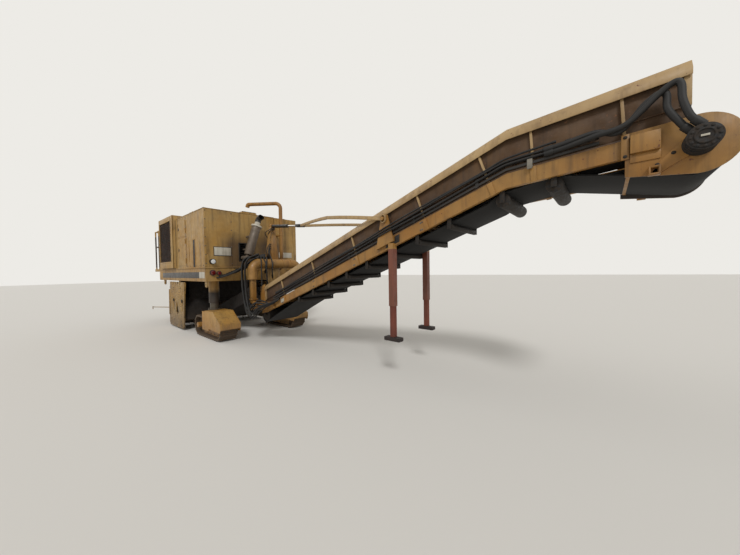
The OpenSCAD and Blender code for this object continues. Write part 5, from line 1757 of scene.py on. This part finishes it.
@dataclass
class Head(Assembly):
    """The conveyor's head: end plates, torque arm, drive motor and its hoses."""

    body = "conveyor"
    inner: float = 552
    outer: float = 570
    length: float = 465
    nose_r: float = 250
    motor_r: float = 105

    def build(self) -> None:
        """Builds the plates of both sides and the drive on the right."""
        hx, hz = HEAD
        plates = [part for side in (-1, 1) for part in self.plates(side)]
        reach = self.inner + 2
        plates.append(bar("brace", at(hx - 430, -reach, hz - 120), at(hx - 430, reach, hz - 120), 30, 24, 3))
        # The plates' inner faces carry the BOOM finish's painted shade, dark brown-black.
        self.keep("head_plates", plates, Paint.BOOM, instead=["conveyor_head"])
        for name, side in SIDES:
            rows = [(hx + dx, side * (self.outer + 14), hz + dz) for dx, dz in (
                (-self.length, 190), (-self.length, 10), (-250, -120), (60, 10), (-150, -40))]
            self.fasten(f"{name}_head_bolts", rows, (0, side, 0), 11, 8, Paint.GREASE)
        self.motor()
        self.feeds()

    def plates(self, side: int) -> List[bpy.types.Object]:
        """One side's plate with its strap, raised box, torque arm and bracket.

        Args:
            side: 1 on the left, -1 on the right.

        Returns:
            Its parts.
        """
        (hx, hz), outer, rear = HEAD, side * self.outer, HEAD[0] - self.length
        nose = [(hx + self.nose_r * math.cos(a), hz + self.nose_r * math.sin(a)) for a in fan(-90, 90, 24)]
        parts = [profile("plate", [(rear, hz + 225), (rear, hz - 182), *nose], side * self.inner, outer, 3)]
        for x0, x1, z0, z1, out in ((-30, 30, -20, 222, 14), (34, 236, 20, 192, 40), (34, 240, -62, 22, 12)):
            parts.append(block("box", (rear + x0, outer - side * 2, hz + z0),
                               (rear + x1, outer + side * out, hz + z1), 5))
        torque = [(hx + dx, hz + dz) for dx, dz in (
            (-285, -175), (-225, -85), (-70, 85), (95, 10), (-262, -215))]
        parts.append(profile("arm", torque, outer - side * 2, outer + side * 14, 3))
        bracket = block("bracket", (hx - 310, outer, hz - 215), (hx - 230, outer + side * 70, hz - 135), 3)
        window = block("window", (hx - 295, outer + side * 14, hz - 200),
                       (hx - 245, outer + side * 80, hz - 150), 2)
        return parts + [cut(bracket, [window])]

    def motor(self) -> None:
        """The ribbed drive motor with its bolts and its blank mark."""
        (hx, hz), y, radius = HEAD, -self.outer - 1, self.motor_r
        parts = [bar("drum", at(hx, y, hz), at(hx, y - 190, hz), radius - 12, 40, 8)]
        parts += [bar("ring", at(hx, y - d, hz), at(hx, y - d - 16, hz), radius, 40, 4)
                  for d in (2, 44, 86, 128, 166)]
        parts.append(bar("nose", at(hx, y - 184, hz), at(hx, y - 200, hz), 62, 32, 5, 7))
        self.keep("drive_motor", parts, Paint.GREASE, "paint_dark")
        around = [(hx + 80 * math.cos(a), y - 188, hz + 80 * math.sin(a)) for a in fan(0, 330, 11)]
        self.fasten("drive_motor_bolts", around, (0, -1, 0), 9, 8, Paint.GREASE)
        mark = block("mark", (hx - 26, y - 203, hz - 7), (hx + 22, y - 199, hz + 9), 1)
        self.keep("motor_mark", [mark], Paint.PLATE)

    def feeds(self) -> None:
        """The two thick hoses that rise from the skirt and drop to the motor."""
        for i, (tx, tz, ex, ez) in enumerate(((9010, 3400, 9160, 2982), (9092, 3440, 9214, 3010))):
            out, fall = -604 - 34 * i, 44 * i
            route = [(x, y, skirt_z(x) - drop - fall) for x, y, drop in (
                (8100, -592, 415), (8300, -598, 410), (8540, out + 6, 400))]
            route += [(8720 + 40 * i, out, tz - 250), (tx - 120, out - 6, tz - 62), (tx - 24, out - 12, tz),
                      (tx + 14, out - 20, tz - 40), (tx + 20, out - 40, tz - 170),
                      (ex - 64, out - 52, ez + 110), (ex - 22, out - 52, ez + 42),
                      (ex + 16, out - 48, ez - 4)]
            self.lay(f"motor_hose_{i + 1}", route, 27, 1.2)


@dataclass
class Crawlers(Assembly):
    """Hub covers and bolts of the four crawlers."""

    wheelbase: float = 1350
    radius: float = 310
    half_w: float = 150
    ends: Tuple[Tuple[str, float, float], ...] = (("front", 0, 1113), ("rear", -4450, 670))

    def build(self) -> None:
        """Builds each crawler's hub covers and bolts."""
        for end, x, gauge in self.ends:
            for name, side in SIDES:
                self.crawler(f"{end}_{name}_track", x, side * gauge)

    def crawler(self, body: str, x: float, y: float) -> None:
        """One crawler's hub covers with their bolts, on both of its sides.

        Args:
            body: the crawler's body.
            x: its station.
            y: its side.
        """
        hubs = (x - self.wheelbase / 2, x + self.wheelbase / 2)
        caps = [bar("cap", at(hub, y + turn * 124, self.radius), at(hub, y + turn * self.half_w, self.radius),
                    62, 28, 4, 5) for turn in (-1, 1) for hub in hubs]
        self.keep(f"{body}_caps", caps, Paint.CAST, body=body)
        for way, turn in SIDES:
            rows = [(hub + 44 * math.cos(a), y + turn * self.half_w, self.radius + 44 * math.sin(a))
                    for hub in hubs for a in fan(30, 330, 5)]
            self.fasten(f"{body}_{way}_hub_bolts", rows, (0, turn, 0), 8, 7, body=body)


@dataclass
class Studio:
    """Floor, lamps, world and camera."""

    camera_at: Point = (6.591, -4.207, 1.86)
    yaw: float = 2.28
    pitch: float = -0.026
    roll: float = -0.016
    focal_px: float = 275.0
    image_w: int = 740
    sensor_mm: float = 36.0

    def build(self) -> None:
        """Builds the studio."""
        self.camera()
        self.floor()
        self.world()
        self.lamp("key", 1.5, (48, 8, 35), 12)
        self.lamp("fill", 0.45, (60, 0, -70), 40)

    def camera(self) -> None:
        """The camera at the photograph's place and angle."""
        ahead = Vector((math.cos(self.yaw) * math.cos(self.pitch), math.sin(self.yaw) * math.cos(self.pitch),
                        math.sin(self.pitch)))
        level = Vector((math.sin(self.yaw), -math.cos(self.yaw), 0))
        upright = level.cross(ahead)
        right = level * math.cos(self.roll) + upright * math.sin(self.roll)
        up = upright * math.cos(self.roll) - level * math.sin(self.roll)
        data = bpy.data.cameras.new("camera")
        data.sensor_width = self.sensor_mm
        data.lens = self.sensor_mm * self.focal_px / self.image_w
        data.clip_end = 300
        obj = bpy.data.objects.new("camera", data)
        turn = Matrix((right, up, -ahead)).transposed().to_4x4()
        obj.matrix_world = Matrix.Translation(self.camera_at) @ turn
        bpy.context.collection.objects.link(obj)
        bpy.context.scene.camera = obj

    def floor(self) -> None:
        """A pale floor, a little under the shoes."""
        deselect()
        bpy.ops.mesh.primitive_plane_add(size=160, location=(0, 0, -0.001))
        obj = settle(bpy.context.object)
        obj.name = "studio_floor"
        Paint.FLOOR.put_on(obj)

    def world(self) -> None:
        """Soft sky light, and a pale backdrop for the camera and for reflections."""
        world = bpy.data.worlds.new("studio")
        bpy.context.scene.world = world
        world.use_nodes = True
        tree = world.node_tree
        tree.nodes.clear()
        path = add(tree, "LightPath")
        seen = path.outputs["Is Camera Ray"]
        for ray in ("Is Glossy Ray", "Is Transmission Ray"):
            seen = add(tree, "Math", links={0: seen, 1: path.outputs[ray]}, operation="MAXIMUM").outputs[0]
        sky = add(tree, "Background", values={"Color": linear("#E6E4E0"), "Strength": 0.62})
        backdrop = add(tree, "Background", values={"Color": linear("#EDEBE6"), "Strength": 1.0})
        both = add(tree, "MixShader", links={0: seen, 1: sky.outputs[0], 2: backdrop.outputs[0]})
        add(tree, "OutputWorld", links={0: both.outputs[0]})

    def lamp(self, name: str, strength: float, turn: Point, spread: float) -> None:
        """A soft sun.

        Args:
            name: the lamp's name.
            strength: its strength.
            turn: its rotation in degrees.
            spread: its angular size in degrees.
        """
        data = bpy.data.lights.new(name, "SUN")
        data.energy = strength
        data.angle = math.radians(spread)
        obj = bpy.data.objects.new(name, data)
        obj.rotation_euler = [math.radians(angle) for angle in turn]
        bpy.context.collection.objects.link(obj)


def dress_cad() -> None:
    """Gives every CAD node its finish."""
    for paint, names in CAD_FINISH.items():
        for name in names:
            paint.put_on(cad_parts[name])


def main() -> None:
    """Builds the scene."""
    logging.basicConfig(level=logging.INFO, format="%(name)s %(message)s")
    bpy.context.scene.view_settings.view_transform = "Standard"
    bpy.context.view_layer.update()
    dress_cad()
    Studio().build()
    for assembly in (BodyShell(), Cooling(), FrontLamps(), Pipes(), Gantry(), Hoses(), SidePlates(),
                     Conveyor(), LiftRod(), Head(), Crawlers()):
        assembly.build()


if __name__ == "__main__":
    main()
